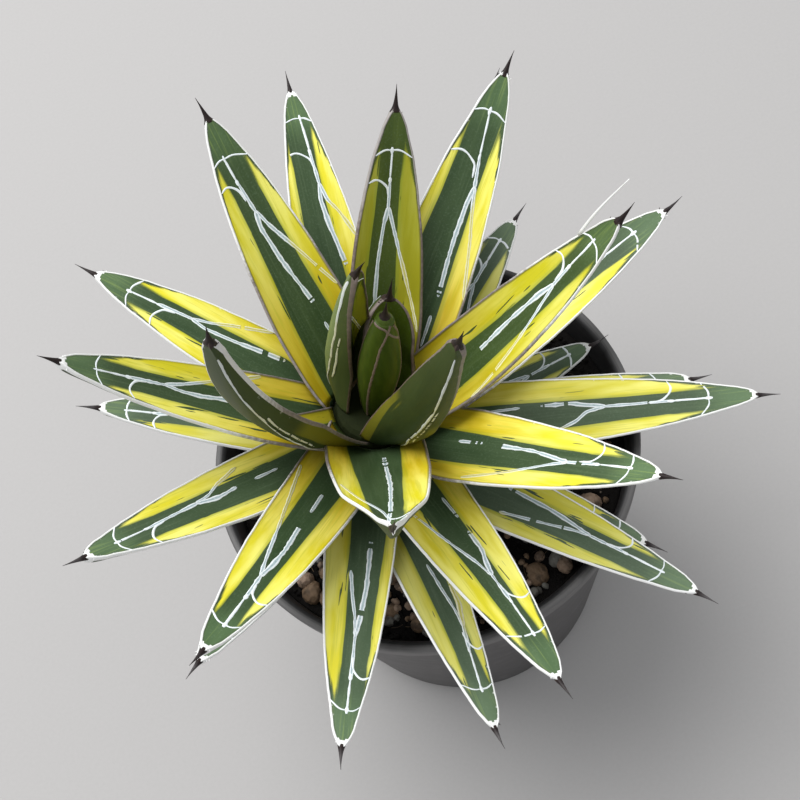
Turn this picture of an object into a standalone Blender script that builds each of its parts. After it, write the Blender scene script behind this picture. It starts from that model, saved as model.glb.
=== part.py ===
# A potted, variegated Queen Victoria agave, in metres. It stands on its pot at Z = 0, with +Z up.
# The plant sits a little off the middle of a round plastic pot and leans to one side, so its leaves
# are laid out round the stem's own axis. Each leaf is one solid with its end spine.

import math
import random
from collections import namedtuple

import bmesh
import bpy
from mathutils import Matrix, Vector, noise
from mathutils.bvhtree import BVHTree

MM = 0.001
CLEAR = 0.0003  # between neighbours that touch
LEAF_GAP = 0.00045  # round a leaf where it lies pressed into an older one

# The pot, a turned plastic shell
POT_HEIGHT = 90 * MM
POT_RIM_RADIUS = 55 * MM
POT_FOOT_RADIUS = 40 * MM
POT_WALL = 1.4 * MM
POT_FLOOR = 2 * MM
LIP_WIDTH = 1.6 * MM
LIP_HEIGHT = 5 * MM
LIP_ROUND = 0.6 * MM
LIP_DRAFT = 0.4 * MM
FOOT_ROUND = 1 * MM
POT_STEPS = 48
DRAIN_HOLES = 6
DRAIN_RADIUS = 4 * MM
DRAIN_CIRCLE = 24 * MM
DRAIN_STEPS = 12

# The soil that fills it, with stones showing at its surface
SOIL_LEVEL = 82 * MM
SOIL_ROUGHNESS = 1.5 * MM
SOIL_LUMP = 7 * MM
SOIL_RINGS = 6
SOIL_STEPS = 40
STONE_COUNT = 26
STONE_MIN = 1.6 * MM
STONE_MAX = 3.6 * MM
STONE_INNERMOST = 0.5  # how near the pot's middle a stone may lie, as a share of the reach
STONE_TIP = math.radians(35)
STONE_SUNK = 0.2  # how far the middle lies under the surface, in radii
STONE_BEARING = (250, 65)  # degrees, the middle of the gritty side and its spread
STONE_SEED = 7

# The stem, which leans towards +X
STEM_FOOT = Vector((-14.3 * MM, 4 * MM, 88 * MM))
STEM_LEAN = math.radians(15)
STEM_LEAN_TOWARDS = math.radians(5)
STEM_SUNK = 18 * MM
STEM_TAPER = 2 * MM
STEM_TOP = 22 * MM
STEM_TOP_RADIUS = 8 * MM
STEM_RADIUS = 11 * MM
STEM_STEPS = 20
STEM_ALONG = (0, 0.25, 0.5, 0.7, 0.85, 0.95, 1)
HOLE_ABOVE = 12 * MM  # how far the hole's cutter goes on above the stem's foot

# The leaves stand on a spiral, each a golden angle on from the next younger one
GOLDEN_ANGLE = 137.5
FIRST_ANGLE = 17.5
OLDEST = 34
OLDEST_STATION = 4 * MM

# Shape that all leaves share
EDGE_THICKNESS = 0.8 * MM
BASE_THICKNESS = 1.4 * MM
BODY_THICKNESS = 4.1 * MM
TIP_THICKNESS = 2.3 * MM
THICKEST = 0.3  # the share of the length where a leaf is thickest
THINNING = 1.6
TIP_WIDTH = 3.2 * MM
OLD_CUP = 12.0  # curvature across an old blade, in 1/m
YOUNG_CUP = 100.0
CUP_FADES_OVER = 2.5  # in places along the spiral
MOST_WRAP = math.radians(100)  # how far either half of a blade may curl round
TWIST_FROM_BASE = 0.3  # the share of the length over which a leaf turns to its twist
KEEL_POWER = 0.85  # under 1 the underside bulges a little between its keel and its margins
KEEL_SIDE = 0.5  # how far the keel lies from the middle to the left margin, near the tip
KEEL_AT_BASE = 0.1
KEEL_SETTLES = 0.55  # the share of the length where the keel has come across
TAPER_START = 2.1
TAPER_POWER = 0.7
SPINE_LENGTH = 6 * MM
SPINE_RADIUS = 0.85 * MM
SPINE_POINT = 0.12 * MM
SPINE_ALONG = (0.12, 0.5, 1)
ALONG = (0, 0.05, 0.12, 0.22, 0.34, 0.47, 0.6, 0.72, 0.83, 0.915, 0.965, 1)
ACROSS = (1, 0.55, 0, -0.55, -1)

# The bud at the heart of the rosette
BUD_LENGTH = 37 * MM
BUD_RADIUS = 5 * MM
BUD_BELLY = 0.48  # the share of its length where the bud is widest
BUD_FOOT = 0.58  # its width at the foot and the tip, as shares of its widest
BUD_TIP = 0.44
BUD_TAPER = 1.7
BUD_ALONG = (0, 0.08, 0.2, 0.38, 0.58, 0.76, 0.9, 1)
BUD_STEPS = 12

# One row for each leaf, from the youngest to the oldest: its number on the spiral, how far it has
# swung off the spiral, its rise at the stem and the bend from there to its tip (degrees), its length
# and width (mm), and its twist (degrees)
Leaf = namedtuple("Leaf", "number swing rise bend length width twist")
LEAVES = (
    Leaf(0, 47, 73, 4, 26, 23, 17),
    Leaf(1, -32, 79, 25, 48, 18, 20),
    Leaf(2, -17, 68, 10, 77, 14, -59),
    Leaf(3, 1, 54, 3, 68, 22, 20),
    Leaf(4, -1, 46, 35, 89, 15, 36),
    Leaf(5, 7, 56, 10, 79, 21, 16),
    Leaf(6, -9, 41, 2, 74, 22, -7),
    Leaf(7, -7, 48, 0, 81, 26, 0),
    Leaf(8, 11, 43, 7, 82, 22, 12),
    Leaf(9, 5, 38, 5, 80, 20, -6),
    Leaf(10, -5, 38, 2, 77, 22, 10),
    Leaf(11, 0, 27, -1, 78, 20, 0),
    Leaf(12, 1, 25, 5, 84, 19, -4),
    Leaf(13, 8, 27, 4, 80, 21, 7),
    Leaf(14, 0, 24, -8, 67, 21, 0),
    Leaf(15, -1, 25, -9, 80, 22, -9),
    Leaf(16, -4, 25, 3, 85, 17, -2),
    Leaf(17, 9, 24, 1, 78, 19, 4),
    Leaf(18, 10, 17, -2, 85, 21, 5),
    Leaf(19, -6, 12, 2, 57, 17, 0),
    Leaf(20, 1, 16, 2, 83, 18, -6),
    Leaf(22, 4, 14, 0, 57, 17, 0),
    Leaf(23, 9, 15, -4, 80, 19, 0),
    Leaf(24, -8, 17, 2, 59, 17, 0),
    Leaf(25, 9, 12, 4, 69, 17, 2),
    Leaf(26, -4, 17, 0, 71, 19, 0),
    Leaf(28, 3, 16, -2, 78, 18, -12),
    Leaf(29, -5, 16, 8, 61, 19, 0),
    Leaf(31, -4, 13, -1, 64, 18, 0),
    Leaf(33, 11, 7, 3, 51, 14, 0),
    Leaf(34, -8, 14, 10, 52, 17, 0),
)


def clear_scene():
    for thing in list(bpy.data.objects):
        bpy.data.objects.remove(thing, do_unlink=True)


def new_collection(name):
    collection = bpy.data.collections.new(name)
    bpy.context.scene.collection.children.link(collection)
    return collection


def material(name, colour, roughness, metallic=0.0):
    made = bpy.data.materials.new(name)
    made.use_nodes = True
    shader = made.node_tree.nodes["Principled BSDF"]
    shader.inputs["Base Color"].default_value = (*colour, 1)
    shader.inputs["Roughness"].default_value = roughness
    shader.inputs["Metallic"].default_value = metallic
    return made


def new_object(name, mesh, collection, look=None):
    thing = bpy.data.objects.new(name, mesh)
    collection.objects.link(thing)
    if look:
        mesh.materials.append(look)
    return thing


def loft(name, rings):
    """A closed mesh through rings of equally many points, which turn right about the way ahead."""
    form = bmesh.new()
    rows = [[form.verts.new(point) for point in ring] for ring in rings]
    for lower, upper in zip(rows, rows[1:]):
        for i in range(len(lower)):
            j = (i + 1) % len(lower)
            form.faces.new((lower[i], lower[j], upper[j], upper[i]))
    form.faces.new(reversed(rows[0]))
    form.faces.new(rows[-1])
    mesh = bpy.data.meshes.new(name)
    form.to_mesh(mesh)
    form.free()
    return mesh


def turned(name, profile, steps, collection, look):
    """A solid of revolution: its outline, from (radius, height) pairs, turned about Z."""
    form = bmesh.new()
    points = [form.verts.new((radius, 0, height)) for radius, height in profile]
    for a, b in zip(points, points[1:]):
        form.edges.new((a, b))
    mesh = bpy.data.meshes.new(name)
    form.to_mesh(mesh)
    form.free()
    thing = new_object(name, mesh, collection, look)
    screw = thing.modifiers.new("Turn", "SCREW")
    screw.steps = steps
    screw.render_steps = steps
    screw.use_merge_vertices = True
    screw.merge_threshold = 0.00001
    return thing


def cut(thing, tool):
    boolean = thing.modifiers.new("Cut " + tool.name, "BOOLEAN")
    boolean.operation = "DIFFERENCE"
    boolean.solver = "EXACT"
    boolean.object = tool


def keep_largest(thing):
    """Drop the chips that a cut may have left, and keep the body with the most corners."""
    form = bmesh.new()
    form.from_mesh(thing.data)
    unseen = set(form.verts)
    bodies = []
    while unseen:
        body = set()
        edge = [unseen.pop()]
        while edge:
            vertex = edge.pop()
            body.add(vertex)
            for link in vertex.link_edges:
                other = link.other_vert(vertex)
                if other in unseen:
                    unseen.discard(other)
                    edge.append(other)
        bodies.append(body)
    bodies.sort(key=len)
    for body in bodies[:-1]:
        bmesh.ops.delete(form, geom=list(body), context="VERTS")
    form.to_mesh(thing.data)
    form.free()


def hidden_cutter(thing):
    thing.hide_render = True
    thing.display_type = "WIRE"
    return thing


def apply_modifiers(thing):
    evaluated = thing.evaluated_get(bpy.context.evaluated_depsgraph_get())
    mesh = bpy.data.meshes.new_from_object(evaluated)
    thing.modifiers.clear()
    thing.data = mesh


# The pot

def pot_inside(height):
    """The radius of the pot's inner wall at a height above the ground."""
    slope = (POT_RIM_RADIUS - LIP_WIDTH - POT_FOOT_RADIUS) / POT_HEIGHT
    return POT_FOOT_RADIUS + slope * height - POT_WALL


def make_pot(parts, cutters):
    look = material("pot_plastic", (0.055, 0.058, 0.062), 0.45)
    under_lip = POT_HEIGHT - LIP_HEIGHT
    profile = (
        (0, POT_FLOOR),
        (pot_inside(POT_FLOOR), POT_FLOOR),
        (pot_inside(POT_HEIGHT - LIP_ROUND), POT_HEIGHT - LIP_ROUND),
        (pot_inside(POT_HEIGHT) + LIP_ROUND, POT_HEIGHT),
        (POT_RIM_RADIUS - LIP_ROUND, POT_HEIGHT),
        (POT_RIM_RADIUS, POT_HEIGHT - LIP_ROUND),
        (POT_RIM_RADIUS - LIP_DRAFT, under_lip),
        (pot_inside(under_lip) + POT_WALL, under_lip - LIP_DRAFT),
        (pot_inside(FOOT_ROUND) + POT_WALL, FOOT_ROUND),
        (POT_FOOT_RADIUS - FOOT_ROUND, 0),
        (0, 0),
    )
    pot = turned("pot", profile, POT_STEPS, parts, look)
    for i in range(DRAIN_HOLES):
        turn = math.tau * i / DRAIN_HOLES
        place = (DRAIN_CIRCLE * math.cos(turn), DRAIN_CIRCLE * math.sin(turn), POT_FLOOR / 2)
        form = bmesh.new()
        bmesh.ops.create_cone(
            form, cap_ends=True, segments=DRAIN_STEPS, radius1=DRAIN_RADIUS, radius2=DRAIN_RADIUS,
            depth=3 * POT_FLOOR, matrix=Matrix.Translation(place),
        )
        mesh = bpy.data.meshes.new("drain_cutter")
        form.to_mesh(mesh)
        form.free()
        cutter = hidden_cutter(new_object(f"drain_cutter_{i + 1}", mesh, cutters))
        cut(pot, cutter)
    return pot


# The stem and its lean

def plant_matrix():
    towards = Matrix.Rotation(STEM_LEAN_TOWARDS, 4, "Z")
    lean = Matrix.Rotation(STEM_LEAN, 4, "Y")
    return Matrix.Translation(STEM_FOOT) @ towards @ lean @ towards.inverted()


def stem_radius(station):
    """The stem's radius at a height along its axis. It is a dome that narrows to the bud."""
    share = max(0.0, min(1.0, station / STEM_TOP))
    return STEM_TOP_RADIUS + (STEM_RADIUS - STEM_TOP_RADIUS) * math.sqrt(1 - share**2)


def make_stem(parts, plant):
    look = material("stem_skin", (0.16, 0.11, 0.06), 0.8)
    profile = [(0, STEM_TOP)]
    profile += [(stem_radius(STEM_TOP * share), STEM_TOP * share) for share in reversed(STEM_ALONG)]
    profile += [(STEM_RADIUS - STEM_TAPER, -STEM_SUNK), (0, -STEM_SUNK)]
    stem = turned("stem", profile, STEM_STEPS, parts, look)
    stem.parent = plant
    return stem


# The soil

def make_soil(parts, cutters, plant):
    look = material("soil_peat", (0.035, 0.026, 0.02), 0.95)
    bottom = POT_FLOOR + CLEAR
    edge = pot_inside(SOIL_LEVEL) - CLEAR
    profile = [(edge * step / SOIL_RINGS, SOIL_LEVEL) for step in range(SOIL_RINGS + 1)]
    profile += [(pot_inside(bottom) - CLEAR, bottom), (0, bottom)]
    soil = turned("soil", profile, SOIL_STEPS, parts, look)
    apply_modifiers(soil)
    for vertex in soil.data.vertices:
        if vertex.co.z > bottom + CLEAR and vertex.co.xy.length < edge - CLEAR:
            vertex.co.z += noise.noise(vertex.co / SOIL_LUMP) * SOIL_ROUGHNESS
    stones = stone_collection()
    join = soil.modifiers.new("Stones", "BOOLEAN")
    join.operation = "UNION"
    join.solver = "EXACT"
    join.operand_type = "COLLECTION"
    join.collection = stones
    cut(soil, stem_hole(cutters, plant))
    apply_modifiers(soil)
    for stone in list(stones.objects):
        bpy.data.objects.remove(stone)
    bpy.data.collections.remove(stones)
    return soil


def stone_collection():
    """Half-sunk stones, most of them at the front and left, where the soil shows its grit."""
    stones = new_collection("stones")
    draw = random.Random(STONE_SEED)
    reach = pot_inside(SOIL_LEVEL) - STONE_MAX - 1 * MM
    placed = []
    while len(placed) < STONE_COUNT:
        turn = math.radians(draw.gauss(*STONE_BEARING))
        away = reach * math.sqrt(draw.uniform(STONE_INNERMOST**2, 1))
        size = draw.uniform(STONE_MIN, STONE_MAX)
        spot = Vector((away * math.cos(turn), away * math.sin(turn), SOIL_LEVEL - STONE_SUNK * size))
        near_stem = (spot - STEM_FOOT).xy.length < STEM_RADIUS + 2 * STONE_MAX
        if near_stem or any((spot - other).length < size + far for other, far in placed):
            continue
        placed.append((spot, size))
        form = bmesh.new()
        bmesh.ops.create_icosphere(form, subdivisions=1, radius=size)
        spin = Matrix.Rotation(draw.uniform(0, math.tau), 4, "Z")
        tip = Matrix.Rotation(draw.uniform(-STONE_TIP, STONE_TIP), 4, "X")
        squash = (draw.uniform(0.8, 1.1), draw.uniform(0.7, 1), draw.uniform(0.5, 0.75), 1)
        form.transform(Matrix.Translation(spot) @ spin @ tip @ Matrix.Diagonal(squash))
        mesh = bpy.data.meshes.new("stone")
        form.to_mesh(mesh)
        form.free()
        new_object(f"stone_{len(placed)}", mesh, stones)
    return stones


def stem_hole(cutters, plant):
    """The plain hole that the stem stands in: a cone that clears the stem's sunken foot."""
    form = bmesh.new()
    depth = STEM_SUNK + HOLE_ABOVE
    slope = STEM_TAPER / STEM_SUNK
    foot = STEM_RADIUS - STEM_TAPER + 2 * CLEAR
    bmesh.ops.create_cone(
        form, cap_ends=True, segments=STEM_STEPS, radius1=foot, radius2=foot + slope * depth,
        depth=depth, matrix=Matrix.Translation((0, 0, depth / 2 - STEM_SUNK - CLEAR)),
    )
    mesh = bpy.data.meshes.new("stem_hole_cutter")
    form.to_mesh(mesh)
    form.free()
    cutter = hidden_cutter(new_object("stem_hole_cutter", mesh, cutters))
    cutter.parent = plant
    return cutter


# The leaves

def leaf_width(share):
    """How wide a leaf is at a share of its length, as a share of its full width."""
    return (1 - share**TAPER_START) ** TAPER_POWER


def leaf_thickness(share):
    """How thick a leaf is along its middle. It swells from its base and thins to its tip."""
    if share < THICKEST:
        rise = math.sin(share / THICKEST * math.pi / 2)
        return BASE_THICKNESS + (BODY_THICKNESS - BASE_THICKNESS) * rise
    fall = (share - THICKEST) / (1 - THICKEST)
    return BODY_THICKNESS + (TIP_THICKNESS - BODY_THICKNESS) * fall**THINNING


def leaf_keel(share):
    """Where the keel lies across the underside: near the middle at the base, then to the left."""
    return KEEL_AT_BASE + (KEEL_SIDE - KEEL_AT_BASE) * min(1.0, share / KEEL_SETTLES)


def leaf_depth(share, across):
    """How far the underside lies below the upper face."""
    keel = leaf_keel(share)
    inwards = (1 - across) / (1 - keel) if across > keel else (1 + across) / (1 + keel)
    return EDGE_THICKNESS + (leaf_thickness(share) - EDGE_THICKNESS) * inwards**KEEL_POWER


def leaf_cup(leaf):
    """The curvature across a blade. The youngest leaves are folded round the bud."""
    return OLD_CUP + (YOUNG_CUP - OLD_CUP) * math.exp(-leaf.number / CUP_FADES_OVER)


def leaf_station(leaf):
    share = leaf.number / OLDEST
    return STEM_TOP + (OLDEST_STATION - STEM_TOP) * share


def leaf_line(leaf):
    """Points along the middle of the leaf's upper face, each with the leaf's slope there."""
    station = leaf_station(leaf)
    out = stem_radius(station) + CLEAR
    up = 0.0
    before = 0.0
    line = []
    for share in ALONG:
        slope = math.radians(leaf.rise + leaf.bend * (share + before) / 2)
        step = (share - before) * leaf.length * MM
        out += math.cos(slope) * step
        up += math.sin(slope) * step
        before = share
        line.append((share, out, up, math.radians(leaf.rise + leaf.bend * share)))
    return line


def leaf_ring(leaf, swell, share, out, up, slope):
    """The leaf's section: a blade that curves round the stem near it, and is keeled beneath."""
    half = max(leaf.width * MM * leaf_width(share), TIP_WIDTH) / 2
    curve = math.sin(slope) / out + leaf_cup(leaf)
    curve = min(curve, MOST_WRAP / half)
    half += swell
    keel = leaf_keel(share)
    middle = Vector((out, 0, up))
    inward = Vector((-math.sin(slope), 0, math.cos(slope)))
    turned_by = math.radians(leaf.twist) * min(1.0, share / TWIST_FROM_BASE)
    twist = Matrix.Rotation(turned_by, 3, (math.cos(slope), 0, math.sin(slope)))
    places = [(across, -swell) for across in ACROSS]
    for across in (-1, (keel - 1) / 2, keel, (keel + 1) / 2, 1):
        places.append((across, leaf_depth(share, across) + swell))
    ring = []
    for across, below in places:
        turn = curve * half * across
        side = Vector((0, math.sin(turn) / curve, 0))
        lift = inward * (1 - math.cos(turn)) / curve
        away = Vector((0, math.sin(turn), 0)) - inward * math.cos(turn)
        ring.append(middle + twist @ (side + lift + away * below))
    return ring


def spine_ring(leaf, end, slope, share):
    """A round section of the end spine, with as many points as a section of the blade."""
    radius = SPINE_RADIUS + (SPINE_POINT - SPINE_RADIUS) * share
    forward = Vector((math.cos(slope), 0, math.sin(slope)))
    inward = Vector((-math.sin(slope), 0, math.cos(slope)))
    twist = Matrix.Rotation(math.radians(leaf.twist), 3, forward)
    count = 2 * len(ACROSS)
    ring = []
    for i in range(count):
        turn = math.pi * (2 * i + 1) / count
        offset = Vector((0, math.cos(turn) * radius, 0)) + inward * math.sin(turn) * radius
        ring.append(end + twist @ offset + forward * SPINE_LENGTH * share)
    return ring


def make_leaf(leaf, name, collection, plant, swell=0.0):
    """One leaf with its spine. A swell makes it that much thicker and wider on every side."""
    line = leaf_line(leaf)
    rings = [leaf_ring(leaf, swell, *place) for place in line]
    slope = line[0][-1]
    back = Vector((math.cos(slope), 0, math.sin(slope))) * swell
    rings[0] = [point - back for point in rings[0]]
    _, out, up, slope = line[-1]
    inward = Vector((-math.sin(slope), 0, math.cos(slope)))
    end = Vector((out, 0, up)) - inward * TIP_THICKNESS / 2
    rings += [spine_ring(leaf, end, slope, share) for share in SPINE_ALONG]
    thing = new_object(name, loft(name, rings), collection)
    turn = FIRST_ANGLE + GOLDEN_ANGLE * leaf.number + leaf.swing
    thing.rotation_euler = (0, 0, math.radians(turn % 360))
    thing.location = (0, 0, leaf_station(leaf))
    thing.parent = plant
    return thing


def meet(thing, other):
    """Whether the surfaces of two objects cross."""
    trees = []
    for each in (thing, other):
        points = [each.matrix_world @ vertex.co for vertex in each.data.vertices]
        trees.append(BVHTree.FromPolygons(points, [face.vertices for face in each.data.polygons]))
    return bool(trees[0].overlap(trees[1]))


def make_leaves(parts, cutters, plant):
    """All leaves. An older leaf is notched where a younger one lies pressed against it."""
    look = material("leaf_skin", (0.16, 0.24, 0.05), 0.4)
    leaves = []
    pressing = []
    for order, leaf in enumerate(LEAVES, start=1):
        name = f"leaf_{order:02d}"
        thing = make_leaf(leaf, name, parts, plant)
        thing.data.materials.append(look)
        swollen = hidden_cutter(make_leaf(leaf, name + "_cutter", cutters, plant, LEAF_GAP))
        leaves.append(thing)
        pressing.append(swollen)
    bpy.context.view_layer.update()
    for order, thing in enumerate(leaves):
        for swollen in pressing[:order]:
            if meet(thing, swollen):
                cut(thing, swollen)
        apply_modifiers(thing)
        keep_largest(thing)
    return leaves


# The bud

def bud_radius(share):
    """Full at its belly, a little drawn in at its foot, and slender to the tip."""
    if share < BUD_BELLY:
        return BUD_RADIUS * (BUD_FOOT + (1 - BUD_FOOT) * math.sin(share / BUD_BELLY * math.pi / 2))
    fall = (share - BUD_BELLY) / (1 - BUD_BELLY)
    return BUD_RADIUS * (1 - (1 - BUD_TIP) * fall**BUD_TAPER)


def make_bud(parts, plant):
    """The unopened heart: a rolled, pointed cone of young leaves with a spine."""
    look = material("bud_skin", (0.06, 0.13, 0.03), 0.45)
    profile = [(0, BUD_LENGTH + SPINE_LENGTH), (SPINE_POINT, BUD_LENGTH + SPINE_LENGTH)]
    profile += [(SPINE_RADIUS, BUD_LENGTH + SPINE_LENGTH * SPINE_ALONG[0])]
    profile += [(bud_radius(share), BUD_LENGTH * share) for share in reversed(BUD_ALONG)]
    profile += [(0, 0)]
    bud = turned("central_bud", profile, BUD_STEPS, parts, look)
    bud.location = (0, 0, STEM_TOP + CLEAR)
    bud.parent = plant
    return bud


def main():
    clear_scene()
    parts = new_collection("potted_variegated_agave")
    cutters = new_collection("cutters")
    plant = bpy.data.objects.new("plant_axis", None)
    parts.objects.link(plant)
    plant.matrix_world = plant_matrix()
    bpy.context.view_layer.update()
    make_pot(parts, cutters)
    make_soil(parts, cutters, plant)
    make_stem(parts, plant)
    make_bud(parts, plant)
    make_leaves(parts, cutters, plant)


main()
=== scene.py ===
# %% [markdown]
# # A potted, variegated Queen Victoria agave
#
# The subject is a small agave in a dark plastic pot, seen steeply from above. Its look comes from
# stiff leaves on a spiral, with white horny margins, a green band between two yellow ones, white
# imprint lines and black end spines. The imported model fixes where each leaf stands, so each fine
# leaf below is laid over its plain one.

# %% Load the frame
import math
import random
from collections import namedtuple

import bmesh
import bpy
import numpy as np
from mathutils import Matrix, Vector, noise


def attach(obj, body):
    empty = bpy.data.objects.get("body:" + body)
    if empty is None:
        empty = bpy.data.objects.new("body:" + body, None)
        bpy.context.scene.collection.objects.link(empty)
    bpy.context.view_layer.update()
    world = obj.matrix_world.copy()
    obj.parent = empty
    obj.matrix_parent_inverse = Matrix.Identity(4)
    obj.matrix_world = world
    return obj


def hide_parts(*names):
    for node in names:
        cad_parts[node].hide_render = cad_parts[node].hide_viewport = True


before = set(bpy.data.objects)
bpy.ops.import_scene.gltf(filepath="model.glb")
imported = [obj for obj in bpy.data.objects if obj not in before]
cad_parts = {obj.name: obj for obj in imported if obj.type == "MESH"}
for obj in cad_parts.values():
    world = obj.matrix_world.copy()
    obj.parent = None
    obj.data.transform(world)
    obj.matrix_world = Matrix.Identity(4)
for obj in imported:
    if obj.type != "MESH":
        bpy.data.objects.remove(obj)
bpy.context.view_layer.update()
MM = 0.001

# %% [markdown]
# ## Camera, floor and light
#
# The plant was photographed from above at about 62 degrees, with the camera rolled by 20 degrees. A
# camera could be aimed with a constraint, but the roll is easier to give as two turned axes. The
# light was soft daylight, so a pale sky does most of the work and one wide lamp adds direction.

# %% Camera
CAMERA_TARGET = Vector((-1.9, 16.6, 85)) * MM
CAMERA_DISTANCE = 371.1 * MM
CAMERA_ELEVATION = math.radians(62.1)
CAMERA_ROLL = math.radians(-19.8)
CAMERA_LENS = 63
CAMERA_SENSOR = 36
CAMERA_NEAR = 0.01


def new_object(name, data):
    thing = bpy.data.objects.new(name, data)
    bpy.context.scene.collection.objects.link(thing)
    return thing


def make_camera():
    back = Vector((0, -math.cos(CAMERA_ELEVATION), math.sin(CAMERA_ELEVATION)))
    right = Vector((1, 0, 0))
    up = back.cross(right)
    rolled_right = right * math.cos(CAMERA_ROLL) + up * math.sin(CAMERA_ROLL)
    rolled_up = up * math.cos(CAMERA_ROLL) - right * math.sin(CAMERA_ROLL)
    camera = new_object("camera", bpy.data.cameras.new("camera"))
    camera.data.lens = CAMERA_LENS
    camera.data.sensor_width = CAMERA_SENSOR
    camera.data.clip_start = CAMERA_NEAR
    axes = Matrix((rolled_right, rolled_up, back)).transposed().to_4x4()
    camera.matrix_world = Matrix.Translation(CAMERA_TARGET + back * CAMERA_DISTANCE) @ axes
    bpy.context.scene.camera = camera


make_camera()
# The default view transform would wash out the yellow
bpy.context.scene.view_settings.view_transform = "Standard"
print("camera", round(CAMERA_DISTANCE / MM, 1), "mm from its target, lens", CAMERA_LENS, "mm")

# %% [markdown]
# ## Formulas as nodes
#
# Shaders and geometry trees are both sums of small steps. Placing each Math node by hand hides the
# formula, so a `Signal` wraps a socket and lets Python's operators add the nodes. A `Tree` adds
# any other node: first its settings, then the values or links of its sockets.

# %% Signals and trees
def operator(operation, swapped=False):
    """A method for Signal that adds one Math node, with the signal second if swapped."""
    def add_node(self, other):
        return self.tree.math(operation, *((other, self) if swapped else (self, other)))
    return add_node


class Signal:
    """A socket to reckon with. Each operator adds a Math node to its tree."""

    def __init__(self, tree, socket):
        self.tree = tree
        self.socket = socket

    def of(self, name):
        """Another output of the same node."""
        return Signal(self.tree, self.socket.node.outputs[name])

    __add__ = __radd__ = operator("ADD")
    __mul__ = operator("MULTIPLY")
    __sub__ = operator("SUBTRACT")
    __rsub__ = operator("SUBTRACT", swapped=True)
    __truediv__ = operator("DIVIDE")
    __rtruediv__ = operator("DIVIDE", swapped=True)
    __pow__ = operator("POWER")


class Tree:
    """A node tree, written as formulas."""

    def __init__(self, tree):
        self.tree = tree

    def node(self, kind, settings=None, *values, **named):
        node = self.tree.nodes.new(kind)
        for name, value in (settings or {}).items():
            if name == "stops":
                self.set_stops(node.color_ramp, value)
            else:
                setattr(node, name, value)
        shown = [socket for socket in node.inputs if socket.enabled]
        pairs = list(zip(shown, values))
        pairs += [(node.inputs[name.replace("_", " ")], value) for name, value in named.items()]
        for socket, value in pairs:
            if isinstance(value, Signal):
                self.tree.links.new(value.socket, socket)
            elif value is not None:
                socket.default_value = value
        outputs = [socket for socket in node.outputs if socket.enabled]
        return Signal(self, outputs[0]) if outputs else None

    def set_stops(self, ramp, stops):
        while len(ramp.elements) < len(stops):
            ramp.elements.new(1)
        for element, (place, value) in zip(ramp.elements, stops):
            element.position = place
            element.color = (value, value, value, 1) if isinstance(value, (int, float)) else (*value, 1)

    def math(self, operation, *values):
        return self.node("ShaderNodeMath", {"operation": operation}, *values)

    def vector_math(self, operation, *values, **named):
        return self.node("ShaderNodeVectorMath", {"operation": operation}, *values, **named)

    def smooth(self, value, low, high):
        """0 below low, 1 above high, and a soft step between them. It also runs downwards."""
        settings = {"interpolation_type": "SMOOTHSTEP"}
        if low < high:
            return self.node("ShaderNodeMapRange", settings, value, low, high, 0.0, 1.0)
        return self.node("ShaderNodeMapRange", settings, value, high, low, 1.0, 0.0)

    def vector(self, *parts):
        return self.node("ShaderNodeCombineXYZ", None, *parts)


class Paint(Tree):
    """A material's tree, with the nodes that paint needs most."""

    def __init__(self, name):
        self.material = bpy.data.materials.new(name)
        self.material.use_nodes = True
        super().__init__(self.material.node_tree)
        self.tree.nodes.clear()

    def attribute(self, name):
        return self.node("ShaderNodeAttribute", {"attribute_name": name}).of("Fac")

    def place(self):
        return self.node("ShaderNodeTexCoord").of("Object")

    def mix(self, amount, first, second, blend="MIX"):
        """Two colours, as (red, green, blue) or signals, mixed."""
        full = [(*each, 1) if isinstance(each, tuple) else each for each in (first, second)]
        settings = {"data_type": "RGBA", "blend_type": blend}
        return self.node("ShaderNodeMix", settings, amount, *full)

    def ramp(self, value, *stops):
        return self.node("ShaderNodeValToRGB", {"stops": stops}, value)

    def noise(self, place, scale, detail=2.0, roughness=0.5):
        return self.node("ShaderNodeTexNoise", None, place, Scale=scale, Detail=detail, Roughness=roughness)

    def random(self, value):
        """A steady random number for each whole value."""
        return self.node("ShaderNodeTexWhiteNoise", {"noise_dimensions": "1D"}, value)

    def bump(self, height, distance, strength=1.0):
        return self.node("ShaderNodeBump", None, Strength=strength, Distance=distance, Height=height)

    def finish(self, colour, roughness, bump=None, **constants):
        """The Principled shader and the output. Constants are set on the shader's own sockets."""
        named = {name.replace(" ", "_"): value for name, value in constants.items()}
        shader = self.node("ShaderNodeBsdfPrincipled", None, Base_Color=colour, Roughness=roughness,
                           Normal=bump, **named)
        self.node("ShaderNodeOutputMaterial", None, shader)
        return self.material


print("one class for values, one for trees, one for materials")

# %% [markdown]
# The floor is a plain pale sheet under the pot. A paper sweep would do as well, but the steep view
# only sees the sheet. Its paint varies very slightly, because even plain card isn't one flat colour.

# %% Floor and light
FLOOR_SIZE = 4.0
FLOOR_SQUARES = 8
FLOOR_DARK = (0.397, 0.387, 0.379)
FLOOR_LIGHT = (0.427, 0.416, 0.408)
SKY_COLOUR = (0.95, 0.97, 1.0)
SKY_STRENGTH = 0.70
KEY_POWER = 16.5
KEY_SIZE = 1.1
KEY_PLACE = (-0.35, 0.42, 1.15)
KEY_AIM = (0, 0, 0.1)


def paint_floor():
    paint = Paint("floor_card")
    grain = paint.noise(paint.place(), 900.0, 3.0)
    return paint.finish(paint.mix(grain, FLOOR_DARK, FLOOR_LIGHT), 0.9)


def mesh_of(name, form):
    """A bmesh as a plain mesh. The bmesh is freed."""
    mesh = bpy.data.meshes.new(name)
    form.to_mesh(mesh)
    form.free()
    return mesh


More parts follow.
